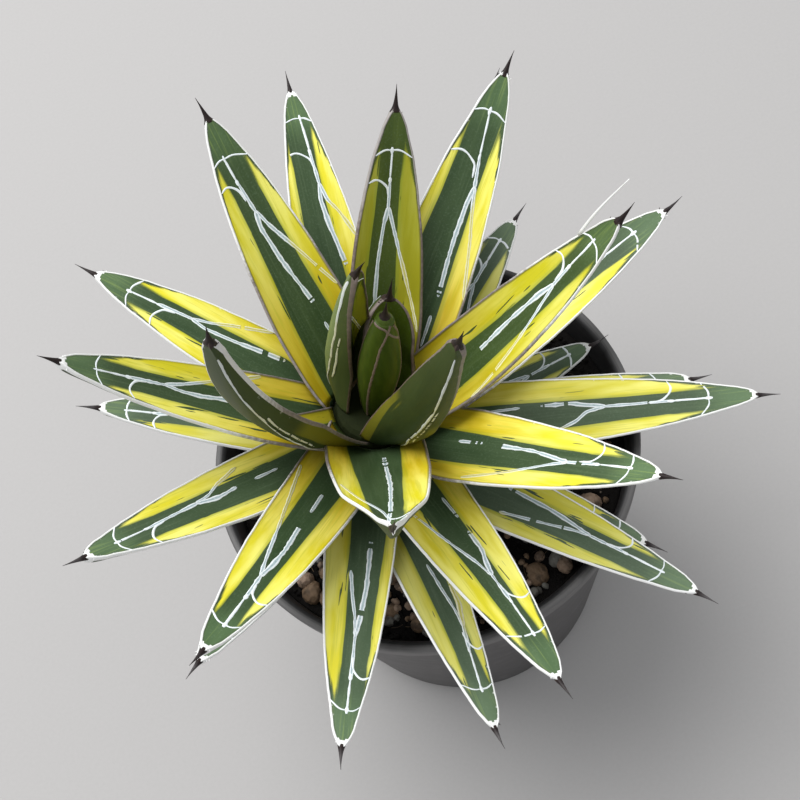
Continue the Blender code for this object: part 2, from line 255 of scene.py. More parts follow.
def make_floor():
    form = bmesh.new()
    bmesh.ops.create_grid(form, x_segments=FLOOR_SQUARES, y_segments=FLOOR_SQUARES, size=FLOOR_SIZE / 2)
    floor = new_object("floor", mesh_of("floor", form))
    floor.data.materials.append(paint_floor())


def make_light():
    world = bpy.data.worlds.new("soft_sky")
    world.use_nodes = True
    sky = world.node_tree.nodes["Background"]
    sky.inputs["Color"].default_value = (*SKY_COLOUR, 1)
    sky.inputs["Strength"].default_value = SKY_STRENGTH
    bpy.context.scene.world = world
    lamp = bpy.data.lights.new("window", "AREA")
    lamp.energy = KEY_POWER
    lamp.shape = "DISK"
    lamp.size = KEY_SIZE
    thing = new_object("window", lamp)
    thing.location = KEY_PLACE
    aim = Vector(KEY_AIM) - thing.location
    thing.rotation_euler = aim.to_track_quat("-Z", "Y").to_euler()


make_floor()
make_light()
print("window lamp at", KEY_PLACE)

# %% [markdown]
# ## The plan of the rosette
#
# An agave sets each new leaf a golden angle, 137.5 degrees, on from the last. The table gives each
# leaf's number on that spiral and how it differs from its neighbours. These are the same values as
# in the solid model, so that each fine leaf lies over its plain one.

# %% Leaf table
GOLDEN_ANGLE = 137.5
FIRST_ANGLE = 17.5
OLDEST = 34
OLDEST_STATION = 4 * MM
STEM_FOOT = Vector((-14.3, 4, 88)) * MM
STEM_LEAN = math.radians(15)
STEM_LEAN_TOWARDS = math.radians(5)
STEM_TOP = 22 * MM
STEM_TOP_RADIUS = 8 * MM
STEM_RADIUS = 11 * MM
CLEAR = 0.3 * MM

# number on the spiral, swing, rise and bend (degrees), length and width (mm), twist (degrees)
Leaf = namedtuple("Leaf", "number swing rise bend length width twist")
LEAVES = (
    Leaf(0, 47, 73, 4, 26, 23, 17),
    Leaf(1, -32, 79, 25, 48, 18, 20),
    Leaf(2, -17, 68, 10, 77, 14, -59),
    Leaf(3, 1, 54, 3, 68, 22, 20),
    Leaf(4, -1, 46, 35, 89, 15, 36),
    Leaf(5, 7, 56, 10, 79, 21, 16),
    Leaf(6, -9, 41, 2, 74, 22, -7),
    Leaf(7, -7, 48, 0, 81, 26, 0),
    Leaf(8, 11, 43, 7, 82, 22, 12),
    Leaf(9, 5, 38, 5, 80, 20, -6),
    Leaf(10, -5, 38, 2, 77, 22, 10),
    Leaf(11, 0, 27, -1, 78, 20, 0),
    Leaf(12, 1, 25, 5, 84, 19, -4),
    Leaf(13, 8, 27, 4, 80, 21, 7),
    Leaf(14, 0, 24, -8, 67, 21, 0),
    Leaf(15, -1, 25, -9, 80, 22, -9),
    Leaf(16, -4, 25, 3, 85, 17, -2),
    Leaf(17, 9, 24, 1, 78, 19, 4),
    Leaf(18, 10, 17, -2, 85, 21, 5),
    Leaf(19, -6, 12, 2, 57, 17, 0),
    Leaf(20, 1, 16, 2, 83, 18, -6),
    Leaf(22, 4, 14, 0, 57, 17, 0),
    Leaf(23, 9, 15, -4, 80, 19, 0),
    Leaf(24, -8, 17, 2, 59, 17, 0),
    Leaf(25, 9, 12, 4, 69, 17, 2),
    Leaf(26, -4, 17, 0, 71, 19, 0),
    Leaf(28, 3, 16, -2, 78, 18, -12),
    Leaf(29, -5, 16, 8, 61, 19, 0),
    Leaf(31, -4, 13, -1, 64, 18, 0),
    Leaf(33, 11, 7, 3, 51, 14, 0),
    Leaf(34, -8, 14, 10, 52, 17, 0),
)
print(len(LEAVES), "leaves, the longest", max(leaf.length for leaf in LEAVES), "mm")

# %% Imprints and bands
# How a leaf's imprint lies, in shares of its length and, for the names that end in _at, of its half
# width. Plus is to the left, looking from the base to the tip.
Imprint = namedtuple("Imprint", "arc arc_at hook fork fork_at inner inner_at outer outer_at")
USUAL_IMPRINT = Imprint(0.88, 0.08, 0.77, 0.65, 0.0, 0.36, 0.05, 0.30, -0.88)
IMPRINTS = {
    3: Imprint(0.85, 0.05, 0.75, 0.64, 0.0, 0.22, 0.15, 0.20, -0.92),
    5: Imprint(0.89, 0.20, 0.78, 0.69, 0.0, 0.33, 0.05, 0.27, -0.95),
    6: Imprint(0.86, 0.25, 0.78, 0.66, 0.0, 0.30, -0.25, 0.33, -0.95),
    7: Imprint(0.90, 0.00, 0.86, 0.81, 0.02, 0.12, 0.18, 0.55, -0.88),
    8: Imprint(0.88, 0.07, 0.75, 0.65, -0.35, 0.31, -0.34, 0.33, -0.96),
    9: Imprint(0.88, 0.00, 0.78, 0.64, -0.10, 0.40, -0.10, 0.28, -0.92),
    10: Imprint(0.89, 0.15, 0.78, 0.66, 0.0, 0.39, 0.20, 0.33, -0.85),
    11: Imprint(0.90, -0.20, 0.79, 0.67, -0.25, 0.39, -0.42, 0.48, -0.96),
    12: Imprint(0.89, 0.12, 0.77, 0.66, 0.0, 0.41, 0.03, 0.18, -0.90),
    14: Imprint(0.86, 0.00, 0.75, 0.61, -0.22, 0.24, -0.45, 0.33, -0.96),
    15: Imprint(0.84, 0.25, 0.72, 0.60, 0.20, 0.42, 0.40, 0.28, -0.55),
    17: Imprint(0.89, 0.05, 0.79, 0.58, -0.18, 0.43, -0.15, 0.38, -0.72),
    18: Imprint(0.86, 0.03, 0.76, 0.56, 0.07, 0.38, 0.25, 0.40, -0.60),
    20: Imprint(0.89, 0.12, 0.79, 0.64, 0.12, 0.29, 0.30, 0.42, -0.20),
    23: Imprint(0.88, 0.15, 0.77, 0.64, 0.12, 0.35, 0.38, 0.37, -0.45),
    28: Imprint(0.87, 0.15, 0.74, 0.64, 0.45, 0.48, 0.55, 0.40, 0.10),
}
# Where the middle of the green band lies across the leaf, and half its width, in half leaf widths
USUAL_BAND = (0.02, 0.42)
BANDS = {
    0: (0.0, 1.0), 3: (0.07, 0.38), 5: (0.0, 0.36), 6: (-0.04, 0.47), 7: (0.0, 0.42), 8: (0.07, 0.50),
    10: (0.0, 0.38), 11: (0.16, 0.44), 12: (-0.02, 0.38), 14: (0.0, 0.40), 15: (0.09, 0.34),
    18: (-0.05, 0.42), 20: (0.22, 0.44), 23: (-0.02, 0.44), 28: (0.12, 0.38),
}
print("own imprints:", len(IMPRINTS), "and own bands:", len(BANDS))

# %% [markdown]
# ## The flat leaf
#
# A leaf is easiest to draw flat: its outline, margins, lines and spine all follow one straight
# middle line, and a geometry tree bends the whole of it to shape afterwards. The blade is a closed
# strip: a smooth upper face, a keeled underside and a horny margin like a thin cord along each side.
# Rows of points are laid across it from foot to tip, closer near the tip, where the outline rounds.
# Each point also keeps where it is on the leaf, in millimetres, because the skin's pattern follows
# the leaf and not the room.

# %% Sections of the blade
# In mm, powers, and shares of the length or of the half width. Only the first is in metres, because
# a geometry tree reads it.
TIP_WIDTH = 2.3 * MM
NOSE_HALF = 2.15
NOSE_LENGTH = 4.5
TAPER_START = 2.1
TAPER_POWER = 0.7
LEAST_HALF = 0.8
JOIN_POWER = 4  # how sharply the taper passes into the nose
EDGE_THICKNESS = 0.6
BASE_THICKNESS = 1.4
BODY_THICKNESS = 4.1
TIP_THICKNESS = 2.3
THICKEST = 0.3
THINNING = 1.6
KEEL_POWER = 0.85
KEEL_SIDE = 0.5
KEEL_AT_BASE = 0.1
KEEL_SETTLES = 0.55
ROWS = 80
ROWS_CLOSE_UP = 1.45
INNER_COLUMNS = 15
UNDER_COLUMNS = 9
# (distance in from the edge, height above the upper or the lower face) round the horny margin, in mm
MARGIN_ABOVE = ((-0.07, -0.30), (-0.04, -0.10), (0.06, 0.06), (0.22, 0.07), (0.36, 0.0), (0.52, -0.05))
MARGIN_BELOW = ((0.32, 0.0), (0.18, -0.04), (0.0, 0.02))
HORN_COLUMNS = 4  # of the steps above, those that are horn


def leaf_half(leaf, share):
    """Half the leaf's width in mm: a long taper that ends in a small Gothic arch."""
    taper = leaf.width / 2 * np.clip(1 - share**TAPER_START, 0, 1) ** TAPER_POWER
    nose = NOSE_HALF * np.sqrt(np.clip((1 - share) * leaf.length / NOSE_LENGTH, 0, 1))
    return np.maximum((taper**JOIN_POWER + nose**JOIN_POWER) ** (1 / JOIN_POWER), LEAST_HALF)


def leaf_thickness(share):
    """How thick the leaf is along its middle. It swells from its foot and thins to its tip."""
    rise = np.sin(np.minimum(share / THICKEST, 1) * math.pi / 2)
    fall = np.clip((share - THICKEST) / (1 - THICKEST), 0, 1)
    near_foot = BASE_THICKNESS + (BODY_THICKNESS - BASE_THICKNESS) * rise
    near_tip = BODY_THICKNESS + (TIP_THICKNESS - BODY_THICKNESS) * fall**THINNING
    return np.where(share < THICKEST, near_foot, near_tip)


def leaf_keel(share):
    """How far to the side the keel runs, in half widths."""
    return KEEL_AT_BASE + (KEEL_SIDE - KEEL_AT_BASE) * np.minimum(1, share / KEEL_SETTLES)


def leaf_depth(share, across):
    """How deep the underside lies below the upper face, in mm."""
    keel = leaf_keel(share)
    inwards = np.where(across > keel, (1 - across) / (1 - keel), (1 + across) / (1 + keel))
    inwards = np.clip(inwards, 0, 1)
    return EDGE_THICKNESS + (leaf_thickness(share) - EDGE_THICKNESS) * inwards**KEEL_POWER


class FlatMesh:
    """Points in mm with named values, faces and their looks, gathered piece by piece."""

    def __init__(self):
        self.points, self.faces, self.looks, self.values = [], [], [], {}
        self.count = 0

    def add(self, points, faces, look, **values):
        points = np.asarray(points, dtype=float).reshape(-1, 3)
        for name in set(self.values) | set(values):
            kept = self.values.setdefault(name, [np.zeros(self.count)])
            new = values.get(name, 0.0)
            kept.append(np.broadcast_to(np.asarray(new, dtype=float).reshape(-1), len(points)).copy())
        self.points.append(points)
        self.faces += [tuple(int(i) + self.count for i in face) for face in faces]
        self.looks += list(look) if hasattr(look, "__len__") else [look] * len(faces)
        self.count += len(points)

    def mesh(self, name):
        """The mesh in metres. Each face keeps the number of its look, for a tree to read."""
        mesh = bpy.data.meshes.new(name)
        mesh.from_pydata(np.concatenate(self.points) * MM, [], self.faces)
        mesh.polygons.foreach_set("use_smooth", [True] * len(self.faces))
        look = mesh.attributes.new("look", "INT", "FACE")
        look.data.foreach_set("value", self.looks)
        for key, parts in self.values.items():
            layer = mesh.attributes.new(key, "FLOAT", "POINT")
            layer.data.foreach_set("value", np.concatenate(parts).astype(np.float32))
        mesh.update()
        return mesh


def strip_faces(rows, columns, closed):
    """Quads between rows of points, which run round a ring if it is closed."""
    faces = []
    for row in range(rows - 1):
        for column in range(columns if closed else columns - 1):
            after = (column + 1) % columns
            low, high = row * columns, (row + 1) * columns
            faces.append((low + column, low + after, high + after, high + column))
    return faces


SKIN, HORN, SPINE, LINE = range(4)
print("a ring has", 2 * len(MARGIN_ABOVE) + INNER_COLUMNS + 2 * len(MARGIN_BELOW) + UNDER_COLUMNS, "points")

# %% The blade
EDGE_WAVES = ((0.09, 5), (0.04, 1.4))  # how far the margin strays in mm, and after how many rows
TIP_ROUNDING = 1.6
LEAST_ROUNDING = 0.1
TIP_NARROWS_TO = 0.3
TIP_THINS_TO = 0.25
MARGINS_MEET = 1.3  # the half width in mm below which the margins are squeezed together
SHOWS_BACK = 6  # leaves up to this number stand steeply
KEEL_LINE_SHIFT = {1: 0.17}  # where a leaf's keel line lies beside its keel, in half widths
NOSE_LEVEL = -0.9  # the height towards which the tip closes
CAP_IN_MIDDLE = 0.7  # how far the white cap reaches back from the tip
CAP_AT_SIDES = 1.5
CAPPED_FROM = 9  # leaves from this number on have a larger white cap and a slimmer spine
CAP_GROWS = 0.9
SADDLE = 0.5  # how far the spine's dark saddle reaches back
SADDLE_CURVE = 0.5
YOUNG_SADDLE = 1.3  # on the youngest leaves, where brown takes the place of the cap


def wander(draw, count, step):
    """A soft random line through zero, with a new height about every so many rows."""
    knots = [draw.uniform(-1, 1) for _ in range(int(count / step) + 3)]
    places = np.arange(count) / step
    return np.interp(places, range(len(knots)), knots)


def blade_rings(leaf, draw):
    """The blade's rings as arrays: share, half width, distance across, height and whether beneath."""
    share = 1 - (1 - np.linspace(0, 1, ROWS)) ** ROWS_CLOSE_UP
    half = leaf_half(leaf, share)
    for height, step in EDGE_WAVES:
        half = half + height * wander(draw, ROWS, step)
    to_end = (1 - share) * leaf.length
    rounding = np.sqrt(np.clip(1 - (1 - np.clip(to_end / TIP_ROUNDING, 0, 1)) ** 2, LEAST_ROUNDING, 1))
    half = half * (TIP_NARROWS_TO + (1 - TIP_NARROWS_TO) * rounding)
    squeeze = np.minimum(1, half / MARGINS_MEET)
    columns = []
    for inwards, height in MARGIN_ABOVE:
        columns.append((half - inwards * squeeze, np.full(ROWS, height), 0))
    reach = half - MARGIN_ABOVE[-1][0] * squeeze
    for place in np.linspace(1, -1, INNER_COLUMNS + 2)[1:-1]:
        columns.append((reach * place, np.zeros(ROWS), 0))
    for inwards, height in reversed(MARGIN_ABOVE):
        columns.append((-half + inwards * squeeze, np.full(ROWS, height), 0))
    beneath = [(-half + inwards * squeeze, height) for inwards, height in reversed(MARGIN_BELOW)]
    reach = half - MARGIN_BELOW[0][0] * squeeze
    beneath += [(reach * place, 0) for place in np.linspace(-1, 1, UNDER_COLUMNS + 2)[1:-1]]
    beneath += [(half - inwards * squeeze, height) for inwards, height in MARGIN_BELOW]
    for across, height in beneath:
        columns.append((across, height - leaf_depth(share, across / half), 1))
    across = np.stack([np.broadcast_to(column[0], ROWS) for column in columns], axis=1)
    height = np.stack([np.broadcast_to(column[1], ROWS) for column in columns], axis=1)
    thinned = TIP_THINS_TO + (1 - TIP_THINS_TO) * rounding
    height = NOSE_LEVEL + (height - NOSE_LEVEL) * thinned[:, None]
    under = np.broadcast_to([column[2] for column in columns], across.shape)
    return share, half, across, height, under


def blade_looks(leaf, share, across, half, columns):
    """Skin, horn or the spine's saddle, for each face between two rings."""
    above = 2 * len(MARGIN_ABOVE) + INNER_COLUMNS
    below = len(MARGIN_BELOW)
    horn = set(range(HORN_COLUMNS)) | set(range(above - 1 - HORN_COLUMNS, above + below - 1))
    horn |= set(range(columns - below, columns))
    looks = []
    capped = leaf.number >= CAPPED_FROM
    saddle = YOUNG_SADDLE if leaf.number <= SHOWS_BACK else SADDLE * (not capped)
    for row in range(ROWS - 1):
        to_end = (1 - (share[row] + share[row + 1]) / 2) * leaf.length
        for column in range(columns):
            aside = abs(across[row, column] / half[row])
            cap = CAP_IN_MIDDLE + (CAP_AT_SIDES - CAP_IN_MIDDLE) * aside**2
            cap += CAP_GROWS * capped
            if to_end < saddle - SADDLE_CURVE * aside**2:
                looks.append(SPINE)
            else:
                looks.append(HORN if to_end < cap or column in horn else SKIN)
    return looks


def add_blade(flat, leaf, draw, constants):
    """The closed blade, whose points keep their places on the leaf for the skin to read."""
    share, half, across, height, under = blade_rings(leaf, draw)
    columns = across.shape[1]
    shares = np.repeat(share[:, None], columns, axis=1)
    points = np.stack([shares * leaf.length, across, height], axis=-1)
    faces = strip_faces(ROWS, columns, closed=True)
    looks = blade_looks(leaf, share, across, half, columns)
    ends = [tuple(reversed(range(columns))), tuple(range((ROWS - 1) * columns, ROWS * columns))]
    halves = np.repeat(half[:, None], columns, axis=1)
    flat.add(
        points, faces + ends, looks + [HORN, SPINE], share=shares, across=across / halves,
        across_mm=across, along_mm=shares * leaf.length, edge_mm=halves - abs(across), under=under,
        facet=across / halves - leaf_keel(shares) - KEEL_LINE_SHIFT.get(leaf.number, 0), **constants,
    )


print("the widest leaf is", max(leaf.width for leaf in LEAVES), "mm wide, in", ROWS, "rows")

# %% Spines, teeth and a loose thread
# How far a spine's root lies behind the tip, how far its foot spreads, and how stout it is, in mm
USUAL_SPINE = (1.3, 0.5, 0.85)
CAPPED_SPINE = (0.7, 0.1, 0.68)
SPINE_LENGTH = 5.2
SPINE_POINT = 0.05
SPINE_TAPER = 1.45
SPINE_FOOT = 0.3  # the share of it over which its foot spreads
SPINE_RISE = 0.1
SPINE_ROWS = 11
SPINE_SIDES = 10
TOOTH_COUNTS = (0, 1, 1, 2)  # on a side, one of these by chance
TOOTH_RINGS = ((0, 0.2), (0.4, 0.12), (0.8, 0.06), (1.0, 0.02))  # share of its length, radius in mm
THREAD_REACH = 20
THREAD_ROWS = 12
THREAD_ENDS = (0.46, 0.12)  # its radius in mm where it leaves the margin and at its end
THREAD_FLATNESS = 0.6


def add_tube(flat, rings, look, **values):
    """A closed, pointed form through rings of (middle, forward, (radius aside, radius up)), in mm."""
    points = []
    for middle, forward, radius in rings:
        forward = forward.normalized()
        side = forward.cross(Vector((0, 0, 1))).normalized()
        up = side.cross(forward)
        for i in range(SPINE_SIDES):
            turn = math.tau * i / SPINE_SIDES
            points.append(middle + (side * math.cos(turn) * radius[0] + up * math.sin(turn) * radius[1]))
    faces = strip_faces(len(rings), SPINE_SIDES, closed=True)
    faces = [tuple(reversed(face)) for face in faces]
    last = (len(rings) - 1) * SPINE_SIDES
    faces.append(tuple(range(SPINE_SIDES)))
    faces.append(tuple(last + i for i in reversed(range(SPINE_SIDES))))
    flat.add(points, faces, look, **values)


def add_spine(flat, leaf, draw, constants):
    """The end spine, which leans a little by chance."""
    start, spread, stout = CAPPED_SPINE if leaf.number >= CAPPED_FROM else USUAL_SPINE
    root = Vector((leaf.length - start, 0, NOSE_LEVEL + SPINE_RISE))
    lean = Vector((0, draw.uniform(-0.08, 0.08), draw.uniform(-0.03, 0.08)))
    rings, parts = [], []
    total = SPINE_LENGTH + start
    for row in range(SPINE_ROWS):
        part = row / (SPINE_ROWS - 1)
        at = root + Vector((total * part, 0, 0)) + lean * total * part**2
        radius = SPINE_POINT + stout * (1 - part) ** SPINE_TAPER
        aside = radius + spread * max(0.0, 1 - part / SPINE_FOOT) ** 2
        rings.append((at, Vector((1, 0, 0)) + lean * part * 2, (aside, radius)))
        parts += [part] * SPINE_SIDES
    add_tube(flat, rings, SPINE, share=1.0, part=parts, **constants)


def add_teeth(flat, leaf, draw, constants):
    """Up to two small teeth on each margin just behind the tip."""
    for side in (-1, 1):
        for _ in range(draw.choice(TOOTH_COUNTS)):
            back = draw.uniform(0.7, 2.6)
            share = 1 - back / leaf.length
            at = Vector((leaf.length - back, side * (float(leaf_half(leaf, np.array(share))) - 0.3), -0.5))
            forward = Vector((draw.uniform(0.4, 1.2), side * draw.uniform(0.5, 1), draw.uniform(-0.1, 0.3)))
            size = draw.uniform(0.4, 0.8)
            rings = [(at + forward * size * part, forward, (radius, radius))
                     for part, radius in TOOTH_RINGS]
            look = draw.choice((HORN, HORN, SPINE))
            add_tube(flat, rings, look, share=share, part=0.3, **constants)


def add_thread(flat, leaf, start, constants):
    """A strand of the left margin that has peeled off and points past the tip."""
    half = float(leaf_half(leaf, np.array(start)))
    begin = Vector((start * leaf.length, half - 0.1, -0.1))
    end = Vector((start * leaf.length + THREAD_REACH, half - 0.4, 1.8))
    rings = []
    for row in range(THREAD_ROWS):
        part = row / (THREAD_ROWS - 1)
        at = begin.lerp(end, part) + Vector((0, 0.5 * math.sin(math.pi * part), 0.3 * math.sin(5 * part)))
        radius = (THREAD_ENDS[0] - THREAD_ENDS[1]) * (1 - part) + THREAD_ENDS[1]
        rings.append((at, end - begin, (radius, radius * THREAD_FLATNESS)))
    add_tube(flat, rings, HORN, share=0.9, **constants)


print("a spine stands", SPINE_LENGTH, "mm proud of its leaf")

# %% [markdown]
# ## Imprint lines
#
# While a leaf was still packed in the bud, the margins of its neighbours left raised white prints
# on it. Since each leaf is a turned copy of the one before, the prints are nearly the same on all of
# them: an arc near the tip, a hook to the left below it, a middle line that forks, and a branch that
# runs out to the right. They could be painted, but they stand proud and catch the light, so each is
# a thin, low, ragged strip on the skin. The broader lines are double: two white ridges with a duller
# furrow between.

# %% Strokes
STROKE_STEP = 0.5
# (place across the stroke from -1 to 1, height in mm, whiteness)
SINGLE_STROKE = ((1, 0.0, 1), (0.5, 0.10, 1), (-0.5, 0.10, 1), (-1, 0.0, 1))
DOUBLE_STROKE = (
    (1, 0.0, 1), (0.65, 0.12, 1), (0.22, 0.04, 0), (-0.22, 0.04, 0), (-0.65, 0.12, 1), (-1, 0.0, 1),
)
SMOOTHINGS = 3
STROKE_DRIFT = (0.05, 6)  # how far a stroke strays in mm, and after how many steps
STROKE_WAVES = ((0.2, 2), (0.25, 6))  # how much its width varies, and after how many steps
STROKE_END = 2.2  # the steps over which it narrows at its ends
FRAYED = 0.3  # the chance of a break at each step of a frayed end
BREAKS = (1, 1, 2, 3)  # how many steps a break lasts, one of these by chance
LIFT_ABOVE = 0.01
LIFT_BENEATH = 0.02


def smoothed(line, times):
    for _ in range(times):
        line = np.concatenate([line[:1], (line[:-2] + 2 * line[1:-1] + line[2:]) / 4, line[-1:]])
    return line


def stroke_line(leaf, route):
    """Even points in mm along a route of (share, across), with the direction to its left."""
    share, across = np.array(route, dtype=float).T
    along, aside = share * leaf.length, across * leaf_half(leaf, share)
    length = np.concatenate([[0], np.cumsum(np.hypot(np.diff(along), np.diff(aside)))])
    count = max(4, int(length[-1] / STROKE_STEP))
    places = np.linspace(0, length[-1], count)
    along, aside = (smoothed(np.interp(places, length, line), SMOOTHINGS) for line in (along, aside))
    step = np.hypot(np.gradient(along), np.gradient(aside)) + 1e-9
    return along, aside, -np.gradient(aside) / step, np.gradient(along) / step


def stroke_faces(draw, count, columns, gaps, fray):
    """Faces of a strip with some left out, more of them towards a frayed end."""
    faces = []
    broken = 0
    for i in range(count - 1):
        chance = gaps / 4 + (FRAYED if i > count * (1 - fray) else 0)
        if broken == 0 and draw.random() < chance:
            broken = draw.choice(BREAKS)
        if broken:
            broken -= 1
            continue
        low, high = i * columns, (i + 1) * columns
        for column in range(columns - 1):
            faces.append((low + column + 1, high + column + 1, high + column, low + column))
    return faces


def add_stroke(flat, leaf, draw, route, width, constants, double=False, gaps=0.02, fray=0.0, beneath=False):
    """A ragged strip along a route of (share, across) points. Across runs from -1 to 1."""
    along, aside, left_x, left_y = stroke_line(leaf, route)
    count = len(along)
    drift = STROKE_DRIFT[0] * wander(draw, count, STROKE_DRIFT[1])
    ragged = 1
    for amount, step in STROKE_WAVES:
        ragged = ragged + amount * wander(draw, count, step)
    wide = width * ragged
    wide *= np.minimum(1, np.minimum(np.arange(count) + 0.8, count - np.arange(count) - 0.2) / STROKE_END)
    section = DOUBLE_STROKE if double else SINGLE_STROKE
    rows, white = [], []
    for side, height, whiteness in section:
        x = along + left_x * (drift + side * wide / 2)
        y = aside + left_y * (drift + side * wide / 2)
        share = np.clip(x / leaf.length, 0, 1)
        depth = leaf_depth(share, y / leaf_half(leaf, share))
        z = -depth - height - LIFT_BENEATH if beneath else np.full(count, height + LIFT_ABOVE)
        rows.append(np.stack([x, y, z], axis=-1))
        white += [whiteness]
    points = np.stack(rows, axis=1).reshape(-1, 3)
    faces = stroke_faces(draw, count, len(section), gaps, fray)
    if beneath:
        faces = [tuple(reversed(face)) for face in faces]
    shares = points[:, 0] / leaf.length
    flat.add(points, faces, LINE, share=shares, across=points[:, 1] / leaf_half(leaf, np.clip(shares, 0, 1)),
             white=np.tile(white, count), under=float(beneath), **constants)


print("single strokes have", len(SINGLE_STROKE), "points across, double ones", len(DOUBLE_STROKE))

# %% The imprint
NEAR_MARGIN = 0.93
ARC_SIDES = ((1, 0.004, 0), (-1, 0.002, 0.008))  # side, rise beside the middle, drop at the margin
SAG = (0.008, 0.02)
KNOT_WIDTH = 0.9
BRANCH_SPREAD = 0.10
KEEL_SHARES = (0.95, 0.8, 0.6, 0.4, 0.25, 0.1)
BESIDE_KEEL = 0.13


def between(first, second, part):
    return first + (second - first) * part


def add_imprint(flat, leaf, draw, constants):
    """The whole imprint: arc, hook, middle line, and the two branches below the fork."""
    p = IMPRINTS.get(leaf.number, USUAL_IMPRINT)
    hook_at = between(p.arc_at, p.fork_at, (p.arc - p.hook) / max(0.05, p.arc - p.fork))
    sag = draw.uniform(*SAG)

    def stroke(*route, width=0.42, **more):
        add_stroke(flat, leaf, draw, route, width, constants, **more)

    for side, rise, drop in ARC_SIDES:
        stroke((p.arc, p.arc_at), (p.arc + rise, between(p.arc_at, side, 0.4)),
               (p.arc - sag - drop, side * NEAR_MARGIN), gaps=0.06)
    # A knot where the middle line meets the arc, and one where it meets the hook
    stroke((p.arc + 0.012, p.arc_at), (p.arc - 0.012, p.arc_at), width=KNOT_WIDTH, gaps=0)
    stroke((p.hook + 0.006, hook_at), (p.hook - 0.016, hook_at), width=KNOT_WIDTH, gaps=0)
    stroke((p.hook - 0.07, hook_at), (p.hook - 0.03, hook_at + 0.06),
           (p.hook - 0.006, between(hook_at, 1, 0.4)), (p.hook, between(hook_at, 1, 0.65)),
           (p.hook - 0.012, NEAR_MARGIN), width=0.5)
    # The middle line, single above the hook and double below it, then the two branches
    stroke((p.arc, p.arc_at), (p.hook, hook_at), width=0.5)
    stroke((p.hook, hook_at), (between(p.hook, p.fork, 0.5), between(hook_at, p.fork_at, 0.55)),
           (p.fork, p.fork_at), width=0.8, double=True)
    stroke((p.fork + 0.01, p.fork_at), (p.fork - 0.05, p.fork_at + BRANCH_SPREAD),
           (between(p.fork, p.inner, 0.5), between(p.fork_at, p.inner_at, 0.5) + BRANCH_SPREAD),
           (p.inner, p.inner_at), width=1.05, double=True, fray=0.12)
    stroke((p.fork + 0.01, p.fork_at), (p.fork - 0.05, between(p.fork_at, p.outer_at, 0.17)),
           (between(p.fork, p.outer, 0.5), between(p.fork_at, p.outer_at, 0.56)),
           (p.outer, p.outer_at), width=0.8, double=True, gaps=0.03)
    if p.inner > 0.25:
        step = draw.uniform(0.05, 0.08)
        stroke((p.inner - step, p.inner_at), (p.inner - step - 0.10, p.inner_at - 0.03), width=0.8,
               double=True, gaps=0.12)


def add_keel_lines(flat, leaf, draw, constants):
    """The young leaves show their backs, where the print runs along the keel."""
    shift = KEEL_LINE_SHIFT.get(leaf.number, 0)
    keel = [(share, float(leaf_keel(share)) + shift) for share in KEEL_SHARES]
    add_stroke(flat, leaf, draw, keel[:4], 0.36, constants, beneath=True)
    add_stroke(flat, leaf, draw, keel[3:], 0.4, constants, beneath=True, gaps=0.15)
    beside = [(share, across + BESIDE_KEEL) for share, across in keel[2:5]]
    add_stroke(flat, leaf, draw, beside, 0.3, constants, beneath=True, gaps=0.4)


print("the usual fork lies", USUAL_IMPRINT.fork, "of the way up a leaf")

# %% [markdown]
# ## The leaf's skin
#
# The yellow bands aren't painted on: in those cell rows the plant makes no green. So the borders
# step from one cell row to the next along the leaf. The shader does the same: it cuts the width into
# thin columns, moves each along the leaf by its own random amount, and compares its place with the
# width of the green band there. A second noise, drawn out along the leaf, leaves stray green dashes
# beside the border.

# %% Colours of the leaves
# Each pair is the darkest and the lightest of a colour, which a noise goes between
DEEP_GREEN = ((0.022, 0.050, 0.016), (0.066, 0.110, 0.046))
TIP_GREEN = ((0.046, 0.095, 0.034), (0.13, 0.21, 0.095))
OLIVE_GREEN = ((0.026, 0.050, 0.002), (0.084, 0.122, 0.006))
BRIGHT_YELLOW = ((0.82, 0.73, 0.022), (1.0, 0.94, 0.20))
GOLDEN_SHADED_YELLOW = ((0.56, 0.35, 0.008), (0.80, 0.56, 0.015))
OLIVE_YELLOW = ((0.20, 0.22, 0.006), (0.34, 0.34, 0.015))
DARK_BACK = ((0.009, 0.019, 0.004), (0.026, 0.045, 0.008))
LIT_BACK = ((0.09, 0.13, 0.040), (0.21, 0.26, 0.10))
FRESH_HORN = ((0.80, 0.80, 0.78), (0.93, 0.93, 0.91))
AGED_HORN = ((0.11, 0.09, 0.085), (0.40, 0.35, 0.34))
BROWN_HORN = ((0.022, 0.012, 0.009), (0.19, 0.13, 0.105))
BLACK_SPINE = ((0.007, 0.004, 0.004), (0.024, 0.015, 0.014))
GREY_SPINE = ((0.032, 0.028, 0.029), (0.13, 0.12, 0.12))
COOL_RIDGE = ((0.76, 0.84, 0.87), (0.94, 0.97, 0.98))
CREAM_RIDGE = ((0.74, 0.71, 0.42), (0.90, 0.89, 0.70))
COOL_FURROW = ((0.22, 0.32, 0.35), (0.62, 0.72, 0.75))
STAINED_FURROW = ((0.50, 0.45, 0.06), (0.72, 0.68, 0.22))
# Single colours, which are laid thinly over the others
PALE_FIBRE = (0.10, 0.15, 0.075)
PALE_TIP_FIBRE = (0.26, 0.36, 0.10)
STIPPLE = (0.26, 0.36, 0.24)
YELLOW_FIBRE = (0.58, 0.56, 0.03)
BORDER_GREEN = (0.22, 0.30, 0.02)
GROOVE_BROWN_AND_SHADE = (0.05, 0.045, 0.03)
DUST = (0.22, 0.27, 0.22)
BACK_YELLOW = (0.17, 0.16, 0.012)
SPINE_FOOT_BROWN = (0.045, 0.030, 0.026)
LINE_BENEATH = (0.36, 0.36, 0.33)
print("yellow runs from", GOLDEN_SHADED_YELLOW[0], "to", BRIGHT_YELLOW[1])

